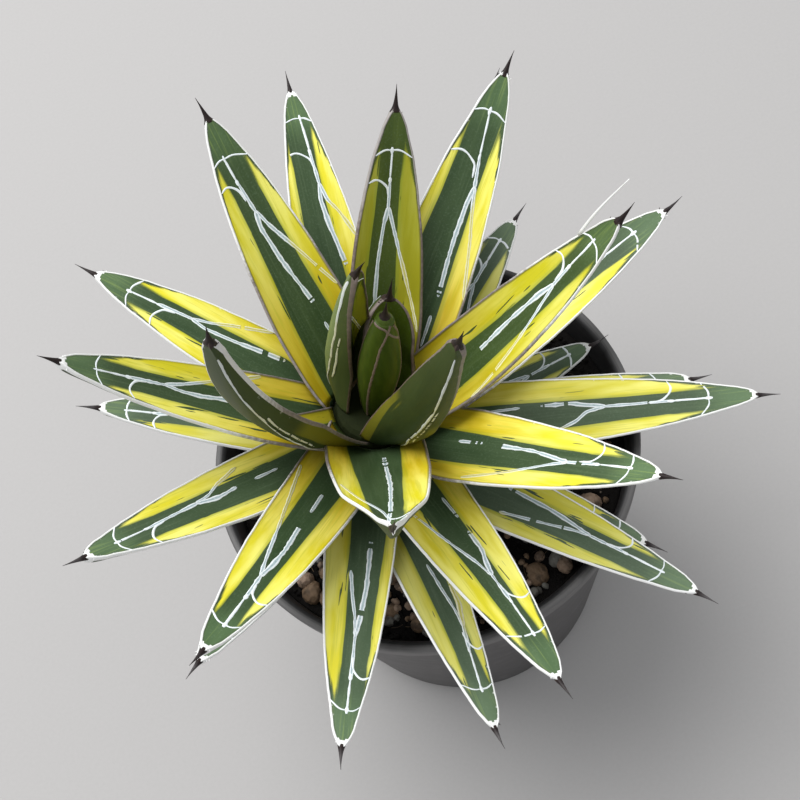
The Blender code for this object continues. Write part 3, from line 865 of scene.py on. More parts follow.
# %% Leaf skin
CELL_ROW = 0.5  # mm, the width of one stepping column
BAND_DRAWN_FOR = 0.42  # the half width that the ramp of the green band is drawn for


def horn_colour(paint, place, share, brown, age):
    """White horn that is greyed and brown towards the base, more so on young leaves."""
    mottle = paint.noise(place, 900.0, 3.0)
    fresh, aged, bark = (paint.mix(mottle, *pair) for pair in (FRESH_HORN, AGED_HORN, BROWN_HORN))
    amount = paint.smooth(share + mottle * 0.2 - age, 0.22, 0.0)
    return paint.mix(brown, paint.mix(amount, fresh, aged), bark), mottle


def green_mask(paint, share, across, chance, streaks):
    """Where the skin is green: the middle band, a line by the margin near the tip, and stray dashes."""
    ragged = share + (chance - 0.5) * 0.02
    soft = 0.014 + paint.smooth(share, 0.68, 0.92) * 0.10
    reach = paint.math("ABSOLUTE", across - paint.attribute("band_shift"))
    band = paint.ramp(ragged, (0, 0.52), (0.2, 0.47), (0.45, 0.42), (0.62, 0.42), (0.74, 0.48),
                      (0.83, 0.66), (0.90, 1.0)) * (paint.attribute("band_width") / BAND_DRAWN_FOR)
    beyond = reach - band
    rim = paint.ramp(share + (chance - 0.5) * 0.06, (0, 1.0), (0.58, 1.0), (0.7, 0.93), (0.82, 0.80),
                     (0.9, 0.6))
    outer = paint.smooth((paint.math("ABSOLUTE", across) - rim) / soft, -1.0, 1.0)
    stray = paint.smooth(streaks, 0.665, 0.685) * paint.smooth(beyond, 0.34, 0.2) * paint.attribute("stray")
    inner = paint.smooth(beyond / soft, 1.0, -1.0)
    return paint.math("MAXIMUM", paint.math("MAXIMUM", inner, outer), stray), beyond


def green_skin(paint, cloud, lines, stipple, share, olive):
    """Deep green with pale fibres, lighter at the tip, and olive on the young leaves."""
    deep = paint.mix(paint.smooth(lines, 0.50, 0.75) * 0.4, paint.mix(cloud, *DEEP_GREEN), PALE_FIBRE)
    tip = paint.mix(paint.smooth(lines, 0.52, 0.70) * 0.4, paint.mix(cloud, *TIP_GREEN), PALE_TIP_FIBRE)
    colour = paint.mix(paint.smooth(share, 0.80, 0.93), deep, tip)
    colour = paint.mix(olive, colour, paint.mix(cloud, *OLIVE_GREEN))
    return paint.mix(paint.smooth(stipple, 0.50, 0.75) * 0.10, colour, STIPPLE)


def yellow_skin(paint, cloud, lines, share, olive, beyond):
    """Bright yellow that is golden and darker towards the foot, partly its own warmer tone and partly
    painted shade, and greener along the border.
    """
    sunny = paint.smooth(cloud, 0.34, 0.66)
    # Towards the foot the yellow turns golden and darker: partly the leaf's own warmer tone, partly painted
    # shade at its base
    golden = paint.smooth(share, 0.64, 0.16) * (0.8 - paint.attribute("old") * 0.6)
    colour = paint.mix(golden, paint.mix(sunny, *BRIGHT_YELLOW), paint.mix(sunny, *GOLDEN_SHADED_YELLOW))
    colour = paint.mix(paint.smooth(lines, 0.54, 0.70) * 0.4, colour, YELLOW_FIBRE)
    colour = paint.mix(olive, colour, paint.mix(cloud, *OLIVE_YELLOW))
    border = paint.smooth(beyond + (lines - 0.5) * 0.2, 0.14, 0.0) * 0.5
    return paint.mix(border, colour, BORDER_GREEN)


def back_skin(paint, cloud, chance, share, edge):
    """The back: painted light and shade, with a lightness of its own on each side of the keel, and yellow by
    the margin near the foot.
    """
    right, left = paint.attribute("back_right"), paint.attribute("back_left")
    # Painted light and shade: each side of the keel goes its own way from the dark back colour to its lit
    # copy
    light = right + (left - right) * paint.smooth(paint.attribute("facet"), -0.06, 0.06)
    colour = paint.mix(light, paint.mix(cloud, *DARK_BACK), paint.mix(cloud, *LIT_BACK))
    near_edge = paint.smooth(edge + (chance - 0.5) * 1.5, 2.8, 2.4) * paint.smooth(share, 0.46, 0.36)
    return paint.mix(near_edge * paint.attribute("patch") * 0.8, colour, BACK_YELLOW)


def paint_leaf_skin():
    """Both bands, the brown and painted shade in the groove by the margin, dust, and the back with its
    painted light. Factors of the seed tell leaves apart.
    """
    paint = Paint("leaf_skin")
    names = ("share", "across", "across_mm", "along_mm", "edge_mm", "seed", "olive", "age")
    share, across, across_mm, along_mm, edge, seed, olive, age = map(paint.attribute, names)
    column = paint.math("FLOOR", across_mm / CELL_ROW)
    chance = paint.random(column + seed * 57.0)
    streaks = paint.noise(paint.vector(across_mm * 1.25 + seed * 11.0, along_mm * 0.10, seed), 1.0, 1.0)
    green, beyond = green_mask(paint, share, across, chance, streaks)
    cloud = paint.noise(paint.vector(across_mm * 0.3, along_mm * 0.05, seed * 9.0), 1.0, 3.0)
    lines = paint.noise(paint.vector(across_mm * 2.2, along_mm * 0.06, seed * 5.0), 1.0, 2.0)
    stipple = paint.noise(paint.place(), 2000.0, 2.0)
    colour = paint.mix(green, yellow_skin(paint, cloud, lines, share, olive, beyond),
                       green_skin(paint, cloud, lines, stipple, share, olive))
    # Beside the horny margin the skin is darkened: partly the margin's own brown line, partly painted shade
    # in its groove
    groove = paint.smooth(edge, 0.85, 0.50) * (0.35 + paint.smooth(share - age, 0.25, 0.0) * 0.65)
    colour = paint.mix(groove * 0.6, colour, GROOVE_BROWN_AND_SHADE)
    colour = paint.mix(paint.attribute("old") ** 3.0 * (0.10 + cloud * 0.25), colour, DUST)
    colour = paint.mix(paint.attribute("under"), colour, back_skin(paint, cloud, chance, share, edge))
    horn, mottle = horn_colour(paint, paint.place(), share, paint.attribute("brown"), age)
    worn = paint.smooth(mottle, 0.64, 0.72) * paint.smooth(edge, 0.8, 0.5) * 0.5
    colour = paint.mix(worn, colour, horn)
    lift = paint.bump(lines + stipple * 0.25, 0.00006, 0.5)
    return paint.finish(colour, 0.42 + cloud * 0.14, lift, Specular_IOR_Level=0.28)


def paint_horn():
    paint = Paint("leaf_horn")
    colour, mottle = horn_colour(paint, paint.place(), paint.attribute("share"), paint.attribute("brown"),
                                 paint.attribute("age"))
    return paint.finish(colour, 0.5, paint.bump(mottle, 0.00006, 0.7))


def paint_spine():
    paint = Paint("spine_black")
    part, old = paint.attribute("part"), paint.attribute("old")
    grain = paint.noise(paint.place(), 1500.0, 3.0)
    greyed = old * paint.smooth(part, 0.1, 0.5)
    colour = paint.mix(greyed, paint.mix(grain, *BLACK_SPINE), paint.mix(grain, *GREY_SPINE))
    colour = paint.mix(paint.smooth(part, 0.14, 0.04) * 0.6, colour, SPINE_FOOT_BROWN)
    return paint.finish(colour, 0.45, paint.bump(grain, 0.00004, 0.5), Specular_IOR_Level=0.2)


def paint_line():
    paint = Paint("imprint_line")
    across, white = paint.math("ABSOLUTE", paint.attribute("across")), paint.attribute("white")
    mottle = paint.noise(paint.place(), 1400.0, 2.0)
    over_yellow = paint.smooth(across, 0.38, 0.50) * paint.smooth(paint.attribute("share"), 0.74, 0.66)
    ridge, valley = (paint.mix(over_yellow, paint.mix(mottle, *cool), paint.mix(mottle, *warm))
                     for cool, warm in ((COOL_RIDGE, CREAM_RIDGE), (COOL_FURROW, STAINED_FURROW)))
    colour = paint.mix(paint.smooth(white, 0.25, 0.6), valley, ridge)
    colour = paint.mix(paint.attribute("under") * 0.5, colour, LINE_BENEATH)
    return paint.finish(colour, 0.5, paint.bump(mottle, 0.00004, 0.6))


LEAF_MATERIALS = [paint_leaf_skin(), paint_horn(), paint_spine(), paint_line()]
print("materials:", [each.name for each in LEAF_MATERIALS])

# %% [markdown]
# ## From a flat leaf to a growing one
#
# A Geometry Nodes tree grows the flat leaf to shape: it bends it lengthwise, rolls it round the stem
# near its foot, twists it, and sets it on the leaning stem. At the end it gives each face its
# material, by the look it was drawn with. The same tree serves all the leaves, and its inputs are
# worked out from the table.

# %% The tree that shapes a leaf
OLD_CUP = 12.0
YOUNG_CUP = 100.0
CUP_FADES_OVER = 2.5
MOST_WRAP = math.radians(100)
TWIST_FROM_BASE = 0.3


def geometry_tree(name, inputs):
    """A new geometry tree with these named number inputs, each as a signal."""
    group = bpy.data.node_groups.new(name, "GeometryNodeTree")
    group.interface.new_socket("Geometry", in_out="INPUT", socket_type="NodeSocketGeometry")
    for each in inputs:
        group.interface.new_socket(each, in_out="INPUT", socket_type="NodeSocketFloat")
    group.interface.new_socket("Geometry", in_out="OUTPUT", socket_type="NodeSocketGeometry")
    tree = Tree(group)
    entry = tree.node("NodeGroupInput")
    return tree, {each: entry.of(each) for each in ("Geometry", *inputs)}


def grown_place(tree, at, length, width, rise, bend, twist, cup, foot, station, bearing):
    """Where a point of the flat leaf goes. Every value is a signal.

    The middle line is an arc, whose chord grows shorter as it bends. The blade then rolls round the
    stem with the curve it has there, is twisted about its middle line, and is turned and leant.
    """
    split = tree.node("ShaderNodeSeparateXYZ", None, at)
    along, across, height = split.of("X"), split.of("Y"), split.of("Z")
    share = along / length
    half_bend = bend * share / 2
    slope = rise + bend * share
    chord = along * (1 - half_bend * half_bend / 6)
    out = foot + chord * tree.math("COSINE", rise + half_bend)
    up = chord * tree.math("SINE", rise + half_bend)
    narrowing = tree.math("MAXIMUM", 1 - share**TAPER_START, 0.0) ** TAPER_POWER
    half = tree.math("MAXIMUM", width * narrowing, TIP_WIDTH) / 2
    curve = tree.math("MINIMUM", tree.math("SINE", slope) / out + cup, MOST_WRAP / half)
    turn = curve * across
    side = tree.math("SINE", turn) * (1 / curve - height)
    lift = 1 / curve - tree.math("COSINE", turn) * (1 / curve - height)
    twisted = twist * tree.math("MINIMUM", share / TWIST_FROM_BASE, 1.0)
    cosine, sine = tree.math("COSINE", twisted), tree.math("SINE", twisted)
    left = side * cosine - lift * sine
    inward = side * sine + lift * cosine
    on_stem = tree.vector(
        out - inward * tree.math("SINE", slope), left, station + up + inward * tree.math("COSINE", slope)
    )
    lean_axis = (-math.sin(STEM_LEAN_TOWARDS), math.cos(STEM_LEAN_TOWARDS), 0)
    faced = tree.node("ShaderNodeVectorRotate", {"rotation_type": "Z_AXIS"}, on_stem, Angle=bearing)
    leant = tree.node("ShaderNodeVectorRotate", {"rotation_type": "AXIS_ANGLE"}, faced,
                      Axis=lean_axis, Angle=STEM_LEAN)
    return tree.vector_math("ADD", leant, tuple(STEM_FOOT))


def make_growing_tree():
    sizes = ("Length", "Width", "Rise", "Bend", "Twist", "Cup", "Foot", "Station", "Bearing")
    tree, entry = geometry_tree("grow_leaf", sizes)
    at = tree.node("GeometryNodeInputPosition")
    place = grown_place(tree, at, *(entry[size] for size in sizes))
    shaped = tree.node("GeometryNodeSetPosition", None, entry["Geometry"], Position=place)
    grown = tree.node("GeometryNodeRealizeInstances", None, shaped)
    look = tree.node("GeometryNodeInputNamedAttribute", {"data_type": "INT"}, "look")
    for number, material in enumerate(LEAF_MATERIALS):
        same = tree.node("FunctionNodeCompare", {"data_type": "INT", "operation": "EQUAL"}, look, number)
        grown = tree.node("GeometryNodeSetMaterial", None, grown, same, material)
    tree.node("NodeGroupOutput", None, grown)
    return tree.tree


GROW_LEAF = make_growing_tree()
print("the growing tree has", len(GROW_LEAF.nodes), "nodes")

# %% Grow one leaf
def stem_radius(station):
    share = max(0.0, min(1.0, station / STEM_TOP))
    return STEM_TOP_RADIUS + (STEM_RADIUS - STEM_TOP_RADIUS) * math.sqrt(1 - share**2)


def leaf_inputs(leaf):
    station = STEM_TOP + (OLDEST_STATION - STEM_TOP) * leaf.number / OLDEST
    bearing = (FIRST_ANGLE + GOLDEN_ANGLE * leaf.number + leaf.swing) % 360
    return {
        "Length": leaf.length * MM,
        "Width": leaf.width * MM,
        "Rise": math.radians(leaf.rise),
        "Bend": math.radians(leaf.bend),
        "Twist": math.radians(leaf.twist),
        "Cup": OLD_CUP + (YOUNG_CUP - OLD_CUP) * math.exp(-leaf.number / CUP_FADES_OVER),
        "Foot": stem_radius(station) + CLEAR,
        "Station": station,
        "Bearing": math.radians(bearing),
    }


def keep_result(thing):
    """Makes what an object's modifiers give its own plain mesh."""
    graph = bpy.context.evaluated_depsgraph_get()
    mesh = bpy.data.meshes.new_from_object(thing.evaluated_get(graph))
    thing.modifiers.clear()
    old = thing.data
    thing.data = mesh
    bpy.data.meshes.remove(old)
    mesh.name = thing.name


def run_tree(thing, group, values):
    """Runs a geometry tree on an object and keeps the result as its plain mesh."""
    modifier = thing.modifiers.new("shape", "NODES")
    modifier.node_group = group
    for item in group.interface.items_tree:
        if item.in_out == "INPUT" and item.name in values:
            modifier[item.identifier] = values[item.name]
    keep_result(thing)


print("inputs of the first leaf:", {k: round(v, 4) for k, v in leaf_inputs(LEAVES[0]).items()})

# %% [markdown]
# ## All the leaves
#
# Age shows in every leaf. The young ones in the heart are olive with brown margins, and stand so
# steeply that their backs show. The old ones are bright, with white margins and greyed spines. So
# most of a leaf's look follows from its number on the spiral. Only the imprints, the place and width
# of the bands, the painted light on the backs that face the camera, one curled tip and one loose
# thread were read from the plant leaf by leaf, as the table's values were.

# %% Every leaf
# Painted light and shade on the backs: how far each side of the keel goes towards the lit back colour
BACK_LIGHTING = {1: (1.0, 0.32), 2: (0.1, 0.13), 3: (0.2, 0.1), 4: (0.12, 0.05)}  # lightness, right and left
USUAL_BACK_LIGHTING = (0.15, 0.1)
OLIVE_UNTIL = (4.6, 1.1)  # the number about which a trait of the young leaves ends, and how sharply
BROWN_UNTIL = (3.7, 1.8)
MOST_YOUNG = 0.95
CLEAN_BANDS = (7, 8, 12)  # leaves with no stray green in their yellow
CURLED = {7: 2.6}  # mm by which a tip curls up over its last few mm
CURL_OVER = 9.0
FOLD_OVER = 30.0  # and over how many mm it folds into a channel
FOLD_POWER = 1.5
FOLD_RISE = 0.75
FOLD_NARROWS = 0.38
THREADS = {5: 0.86}  # the share of the length where a thread comes loose


def youth(number, until, sharpness):
    """Nearly 1 on the youngest leaves and 0 on the old ones."""
    return MOST_YOUNG / (1 + math.exp((number - until) * sharpness))


def leaf_constants(leaf, draw):
    """What the shaders need to know of a leaf, kept on each of its points."""
    shift, width = BANDS.get(leaf.number, USUAL_BAND)
    right, left = BACK_LIGHTING.get(leaf.number, USUAL_BACK_LIGHTING)
    return {
        "seed": leaf.number + draw.random(),
        "olive": youth(leaf.number, *OLIVE_UNTIL),
        "brown": youth(leaf.number, *BROWN_UNTIL),
        "old": min(1.0, max(0.0, (leaf.number - 8) / 14)),
        "age": 0.16 + 0.45 * math.exp(-max(0, leaf.number - 5) / 5),
        "band_shift": shift + draw.uniform(-0.02, 0.02),
        "band_width": width * draw.uniform(0.97, 1.03),
        "stray": float(leaf.number not in CLEAN_BANDS),
        "patch": float(leaf.number > 1),
        "back_right": right,
        "back_left": left,
    }


def curl_tip(flat, leaf, height):
    """Lifts the last few millimetres of a flat leaf in a smooth curve, and folds its sides up."""
    for points in flat.points:
        fold = np.clip((points[:, 0] - leaf.length + FOLD_OVER) / FOLD_OVER, 0, 1) ** FOLD_POWER
        points[:, 2] += FOLD_RISE * fold * abs(points[:, 1])
        points[:, 1] *= 1 - FOLD_NARROWS * fold
        part = np.clip((points[:, 0] - leaf.length + CURL_OVER) / CURL_OVER, 0, None)
        points[:, 2] += height * np.where(part < 1, part**2, 2 * part - 1)


def make_leaf(order, leaf):
    draw = random.Random(100 + leaf.number)
    constants = leaf_constants(leaf, draw)
    flat = FlatMesh()
    add_blade(flat, leaf, draw, constants)
    add_spine(flat, leaf, draw, constants)
    add_teeth(flat, leaf, draw, constants)
    if leaf.number > 0:
        add_imprint(flat, leaf, draw, constants)
    if leaf.number <= SHOWS_BACK:
        add_keel_lines(flat, leaf, draw, constants)
    if leaf.number in THREADS:
        add_thread(flat, leaf, THREADS[leaf.number], constants)
    if leaf.number in CURLED:
        curl_tip(flat, leaf, CURLED[leaf.number])
    name = f"leaf_{order:02d}"
    thing = new_object(name + "_blade", flat.mesh(name + "_blade"))
    run_tree(thing, GROW_LEAF, leaf_inputs(leaf))
    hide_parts(name)
    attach(thing, "root")
    return len(thing.data.polygons)


faces = [make_leaf(order, leaf) for order, leaf in enumerate(LEAVES, start=1)]
print(len(faces), "leaves with", sum(faces), "faces")

# %% [markdown]
# ## The bud
#
# The youngest leaves are still rolled into a hard cone. It could be cut from leaves like the others,
# but only the brown margins of the outermost roll show, so one spindle carries them as thin raised
# strips, each along its own seam. A black spine with a broad foot closes it.

# %% Bud
BUD_LENGTH = 37.0
BUD_RADIUS = 5.0
BUD_BELLY = 0.48
BUD_FOOT = 0.58
BUD_TIP = 0.44
BUD_TAPER = 1.7
BUD_SIDES = 48
BUD_ROWS = 60
# (share of the bud's length, turn about it in degrees) along each seam
BUD_SEAMS = (
    ((1.00, -71), (0.92, -92), (0.81, -115), (0.62, -123), (0.45, -129), (0.20, -134), (0.0, -136)),
    ((0.99, -49), (0.90, -22), (0.76, -11), (0.60, -18), (0.48, -25), (0.34, -32), (0.1, -38)),
    ((0.99, -176), (0.985, -140), (0.97, -103), (0.90, -62), (0.83, -25)),
    ((0.97, 20), (0.75, 70), (0.5, 84), (0.2, 92), (0.0, 95)),
    ((0.98, 160), (0.8, 140), (0.5, 150), (0.2, 156), (0.0, 160)),
)
# (height above the bud's end, radius) in mm
BUD_SPINE = ((-0.7, 2.2), (0.2, 2.0), (0.9, 1.35), (1.7, 0.85), (3.0, 0.5), (4.6, 0.25), (6.0, 0.08))
BUD_GREEN_ROWS = 2  # the lowest rows of faces of its spine, which are green as the bud is
BUD_LOBES = 0.035
BUD_WINDS = 2.2  # how far the wave of its three sides shifts from foot to tip, in radians
SEAM_WIDTH = 0.62
SEAM_STEPS = 1.6  # for each mm of the bud
SEAM_SECTION = ((1, -0.05), (0.6, 0.16), (-0.6, 0.16), (-1, -0.05))  # place across, lift in mm
BUD_COLOURS = ((0.020, 0.040, 0.003), (0.062, 0.096, 0.009))
SEAM_COLOURS = ((0.05, 0.030, 0.024), (0.26, 0.19, 0.16))


def bud_radius(share):
    """It swells from its foot to its belly and narrows to its tip."""
    rise = BUD_FOOT + (1 - BUD_FOOT) * math.sin(min(1, share / BUD_BELLY) * math.pi / 2)
    fall = max(0.0, share - BUD_BELLY) / (1 - BUD_BELLY)
    return BUD_RADIUS * (rise if share < BUD_BELLY else 1 - (1 - BUD_TIP) * fall**BUD_TAPER)


def bud_point(share, turn, lift=0.0):
    """A point on the bud in mm: a cone that is faintly three-sided, as its rolled leaves are."""
    radius = bud_radius(share) * (1 + BUD_LOBES * math.cos(3 * turn + BUD_WINDS * share)) + lift
    return radius * math.cos(turn), radius * math.sin(turn), share * BUD_LENGTH


def plant_matrix():
    """From the stem's own frame to the pot's."""
    towards = Matrix.Rotation(STEM_LEAN_TOWARDS, 4, "Z")
    lean = Matrix.Rotation(STEM_LEAN, 4, "Y")
    return Matrix.Translation(STEM_FOOT) @ towards @ lean @ towards.inverted()


def paint_bud():
    paint = Paint("bud_skin")
    streaks = paint.node("ShaderNodeMapping", None, paint.place(), Scale=(700.0, 700.0, 45.0))
    cloud = paint.noise(streaks, 1.0, 3.0)
    colour = paint.mix(cloud, *BUD_COLOURS)
    return paint.finish(colour, 0.42, paint.bump(cloud, 0.00004, 0.4), Specular_IOR_Level=0.25)


def paint_bud_seam():
    paint = Paint("bud_seam")
    mottle = paint.noise(paint.place(), 1100.0, 3.0)
    return paint.finish(paint.mix(mottle, *SEAM_COLOURS), 0.55, paint.bump(mottle, 0.00006, 0.6))


def add_seam(flat, route):
    """A low strip along a seam, as wide and as ragged as a dried leaf margin."""
    shares, turns = np.array(route, dtype=float).T
    count = int(BUD_LENGTH * SEAM_STEPS)
    places = np.linspace(0, 1, count)
    steps = np.linspace(0, 1, len(shares))
    share = smoothed(np.interp(places, steps, shares), SMOOTHINGS)
    turn = smoothed(np.radians(np.interp(places, steps, turns)), SMOOTHINGS)
    points = []
    for i in range(count):
        after, before = min(i + 1, count - 1), max(i - 1, 0)
        radius = bud_radius(share[i])
        ahead = Vector((share[after] - share[before], 0)) * BUD_LENGTH
        ahead.y = (turn[after] - turn[before]) * radius
        aside = Vector((-ahead.y, ahead.x)).normalized() * SEAM_WIDTH * (0.5 + 0.1 * math.sin(i * 1.7))
        for side, lift in SEAM_SECTION:
            at = min(1.0, share[i] + side * aside.x / BUD_LENGTH)
            points.append(bud_point(at, turn[i] + side * aside.y / radius, lift))
    faces = [tuple(reversed(face)) for face in strip_faces(count, len(SEAM_SECTION), closed=False)]
    flat.add(points, faces, 1)


def make_bud():
    flat = FlatMesh()
    points = [bud_point(row / (BUD_ROWS - 1), math.tau * side / BUD_SIDES)
              for row in range(BUD_ROWS) for side in range(BUD_SIDES)]
    faces = strip_faces(BUD_ROWS, BUD_SIDES, closed=True)
    faces.append(tuple(reversed(range(BUD_SIDES))))
    faces.append(tuple(range((BUD_ROWS - 1) * BUD_SIDES, BUD_ROWS * BUD_SIDES)))
    flat.add(points, faces, 0)
    for seam in BUD_SEAMS:
        add_seam(flat, seam)
    rings = [(Vector((0, 0, BUD_LENGTH + rise)), Vector((0.001, 0, 1)), (radius, radius))
             for rise, radius in BUD_SPINE]
    rows = len(BUD_SPINE) - 1
    parts = [row / rows for row in range(rows + 1) for _ in range(SPINE_SIDES)]
    looks = [0 if row < BUD_GREEN_ROWS else 2 for row in range(rows) for _ in range(SPINE_SIDES)]
    add_tube(flat, rings, looks + [0, 2], part=parts)
    mesh = flat.mesh("central_bud_cone")
    for material in (paint_bud(), paint_bud_seam(), LEAF_MATERIALS[SPINE]):
        mesh.materials.append(material)
    mesh.polygons.foreach_set("material_index", flat.looks)
    mesh.transform(plant_matrix() @ Matrix.Translation((0, 0, STEM_TOP + CLEAR)))
    bud = new_object("central_bud_cone", mesh)
    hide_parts("central_bud")
    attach(bud, "root")
    return bud


bud = make_bud()
print("bud faces:", len(bud.data.polygons))

# %% [markdown]
# ## The pot
#
# The pot is thin injection-moulded plastic: a tapered wall, a turned-out lip and a flat foot with
# drain holes. A profile turned with the Screw modifier gives the shell, and six cylinders cut the
# holes. A lathe-like profile is better than a scaled cylinder, as every rounding is a drawn arc.

# %% Pot
POT_HEIGHT = 90.0
POT_RIM_RADIUS = 55.0
POT_FOOT_RADIUS = 40.0
POT_WALL = 1.4
POT_FLOOR = 2.0
LIP_WIDTH = 1.6
LIP_HEIGHT = 5.0
LIP_ROUND = 0.6
LIP_ROLL = 1.6  # the radius of its inner edge
LIP_DRAFT = 0.4
FOOT_ROUND = 1.0
FLOOR_ROUND = 1.5
LIP_BREAK = 0.4  # the height of the small slopes at the lip's lower edge
ARC_POINTS = 6
ROLL_POINTS = 9
WALL_POINTS = 12
POT_STEPS = 192
DRAIN_HOLES = 6
DRAIN_RADIUS = 4.0
DRAIN_CIRCLE = 24.0
DRAIN_SIDES = 32
PLASTIC = ((0.048, 0.0455, 0.0455), (0.072, 0.068, 0.068))
POT_DUST = (0.20, 0.19, 0.185)
RIM_HIGHLIGHT = (0.20, 0.195, 0.19)
POT_INSIDE_STAIN_AND_SHADE = (0.012, 0.012, 0.013)
# Where the painted highlight along the rim begins and is full, and where the dark inside, soil stain and
# painted shade, does, in mm from it
RIM_HIGHLIGHT_BAND = (1.4, 0.9)
INSIDE_BAND = (1.5, 1.9)
INSIDE_ABOVE = (80, 84)  # the heights in mm between which that inside begins


def pot_inside(height):
    """The inner radius of the wall at a height, in mm."""
    slope = (POT_RIM_RADIUS - LIP_WIDTH - POT_FOOT_RADIUS) / POT_HEIGHT
    return POT_FOOT_RADIUS + slope * height - POT_WALL


def arc(middle, radius, start, end, count=ARC_POINTS):
    """Points of an arc in the profile, with its angles in degrees."""
    turns = np.radians(np.linspace(start, end, count))
    return [(middle[0] + radius * math.cos(turn), middle[1] + radius * math.sin(turn)) for turn in turns]


def pot_profile():
    """(radius, height) points in mm, from the middle of the floor up, over the lip and down to the foot."""
    under = POT_HEIGHT - LIP_HEIGHT
    wall = pot_inside(under) + POT_WALL
    inner = pot_inside(POT_HEIGHT) + LIP_ROLL
    floor_end = pot_inside(POT_FLOOR) - FLOOR_ROUND
    profile = [(0, POT_FLOOR), (floor_end, POT_FLOOR)]
    profile += arc((floor_end, POT_FLOOR + FLOOR_ROUND), FLOOR_ROUND, -90, -8)
    heights = np.linspace(8, POT_HEIGHT - LIP_ROLL - 0.3, WALL_POINTS)
    profile += [(pot_inside(height), height) for height in heights]
    profile += arc((inner, POT_HEIGHT - LIP_ROLL), LIP_ROLL, 175, 90, ROLL_POINTS)
    profile += arc((POT_RIM_RADIUS - LIP_ROUND, POT_HEIGHT - LIP_ROUND), LIP_ROUND, 90, 0)
    profile += [(POT_RIM_RADIUS - LIP_DRAFT, under + LIP_BREAK), (POT_RIM_RADIUS - LIP_DRAFT - 0.3, under)]
    profile += [(wall + 0.35, under), (wall, under - LIP_BREAK)]
    heights = np.linspace(under - 3, 4, WALL_POINTS)
    profile += [(pot_inside(height) + POT_WALL, height) for height in heights]
    profile += arc((POT_FOOT_RADIUS - FOOT_ROUND, FOOT_ROUND), FOOT_ROUND, 0, -90)
    return profile + [(0, 0)]


def paint_pot():
    """Streaked and dusty plastic, with a painted highlight along the rim and an inside darkened by soil
    stain and painted shade.
    """
    paint = Paint("pot_plastic")
    place = paint.place()
    rings = paint.node("ShaderNodeMapping", None, place, Scale=(25.0, 25.0, 900.0))
    streak = paint.noise(rings, 1.0, 4.0, 0.6)
    dust = paint.noise(place, 160.0, 4.0, 0.6)
    dusty = paint.smooth(dust, 0.5, 0.8) * 0.35 + paint.smooth(streak, 0.55, 0.8) * 0.25
    colour = paint.mix(dusty, paint.mix(streak, *PLASTIC), POT_DUST)
    outwards = paint.vector_math("DOT_PRODUCT", place, paint.node("ShaderNodeNewGeometry").of("Normal"))
    away = paint.vector_math("LENGTH", paint.vector_math("MULTIPLY", place, (1.0, 1.0, 0.0)))
    height = paint.node("ShaderNodeSeparateXYZ", None, place).of("Z")
    # A painted highlight: a light band along the top of the rim
    rim = paint.smooth(away, *((POT_RIM_RADIUS - inwards) * MM for inwards in RIM_HIGHLIGHT_BAND))
    colour = paint.mix(rim * 0.35, colour, RIM_HIGHLIGHT)
    # Painted shade and soil stain: the inner wall and the lip's inner edge go nearly black
    lip = paint.smooth(away, *((POT_RIM_RADIUS - inwards) * MM for inwards in INSIDE_BAND))
    lip = lip * paint.smooth(height, *(above * MM for above in INSIDE_ABOVE))
    inside = paint.math("MAXIMUM", paint.smooth(outwards, 0.0, -0.01), lip)
    colour = paint.mix(inside * 0.8, colour, POT_INSIDE_STAIN_AND_SHADE)
    return paint.finish(colour, 0.42 + dust * 0.2, paint.bump(streak, 0.00006, 0.4))


def turned(name, profile, steps):
    """The profile, turned about Z and closed."""
    form = bmesh.new()
    points = [form.verts.new((radius * MM, 0, height * MM)) for radius, height in profile]
    for a, b in zip(points, points[1:]):
        form.edges.new((a, b))
    thing = new_object(name, mesh_of(name, form))
    screw = thing.modifiers.new("Turn", "SCREW")
    screw.steps = steps
    screw.render_steps = steps
    screw.use_merge_vertices = True
    screw.merge_threshold = 0.00001
    return thing


def drain_cutter(number):
    turn = math.tau * number / DRAIN_HOLES
    place = (DRAIN_CIRCLE * math.cos(turn) * MM, DRAIN_CIRCLE * math.sin(turn) * MM, POT_FLOOR / 2 * MM)
    form = bmesh.new()
    bmesh.ops.create_cone(
        form, cap_ends=True, segments=DRAIN_SIDES, radius1=DRAIN_RADIUS * MM, radius2=DRAIN_RADIUS * MM,
        depth=3 * POT_FLOOR * MM, matrix=Matrix.Translation(place),
    )
    return new_object(f"drain_{number}", mesh_of("drain", form))


def make_pot():
    pot = turned("pot_shell", pot_profile(), POT_STEPS)
    cutters = [drain_cutter(number) for number in range(DRAIN_HOLES)]
    for cutter in cutters:
        cut = pot.modifiers.new("Drain", "BOOLEAN")
        cut.operation = "DIFFERENCE"
        cut.solver = "EXACT"
        cut.object = cutter
    keep_result(pot)
    for cutter in cutters:
        bpy.data.objects.remove(cutter)
    form = bmesh.new()
    form.from_mesh(pot.data)
    bmesh.ops.remove_doubles(form, verts=form.verts, dist=0.000005)
    bmesh.ops.recalc_face_normals(form, faces=form.faces)
    form.to_mesh(pot.data)
    form.free()
    pot.data.set_sharp_from_angle(angle=math.radians(40))
    pot.data.materials.clear()
    pot.data.materials.append(paint_pot())
    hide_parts("pot")
    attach(pot, "root")
    return pot


pot = make_pot()
print("pot faces:", len(pot.data.polygons))

# %% [markdown]
# ## The soil
#
# Nearly black peat fills the pot. It isn't smooth: it is a heap of crumbs with brown fibres and, on
# the near side, bits of gravel. A bump map would look flat from the side, so a lumpy bed is made
# first, and four geometry trees scatter gravel, grit, crumbs and fibres over it. The gravel lies
# where the solid model has its stones.

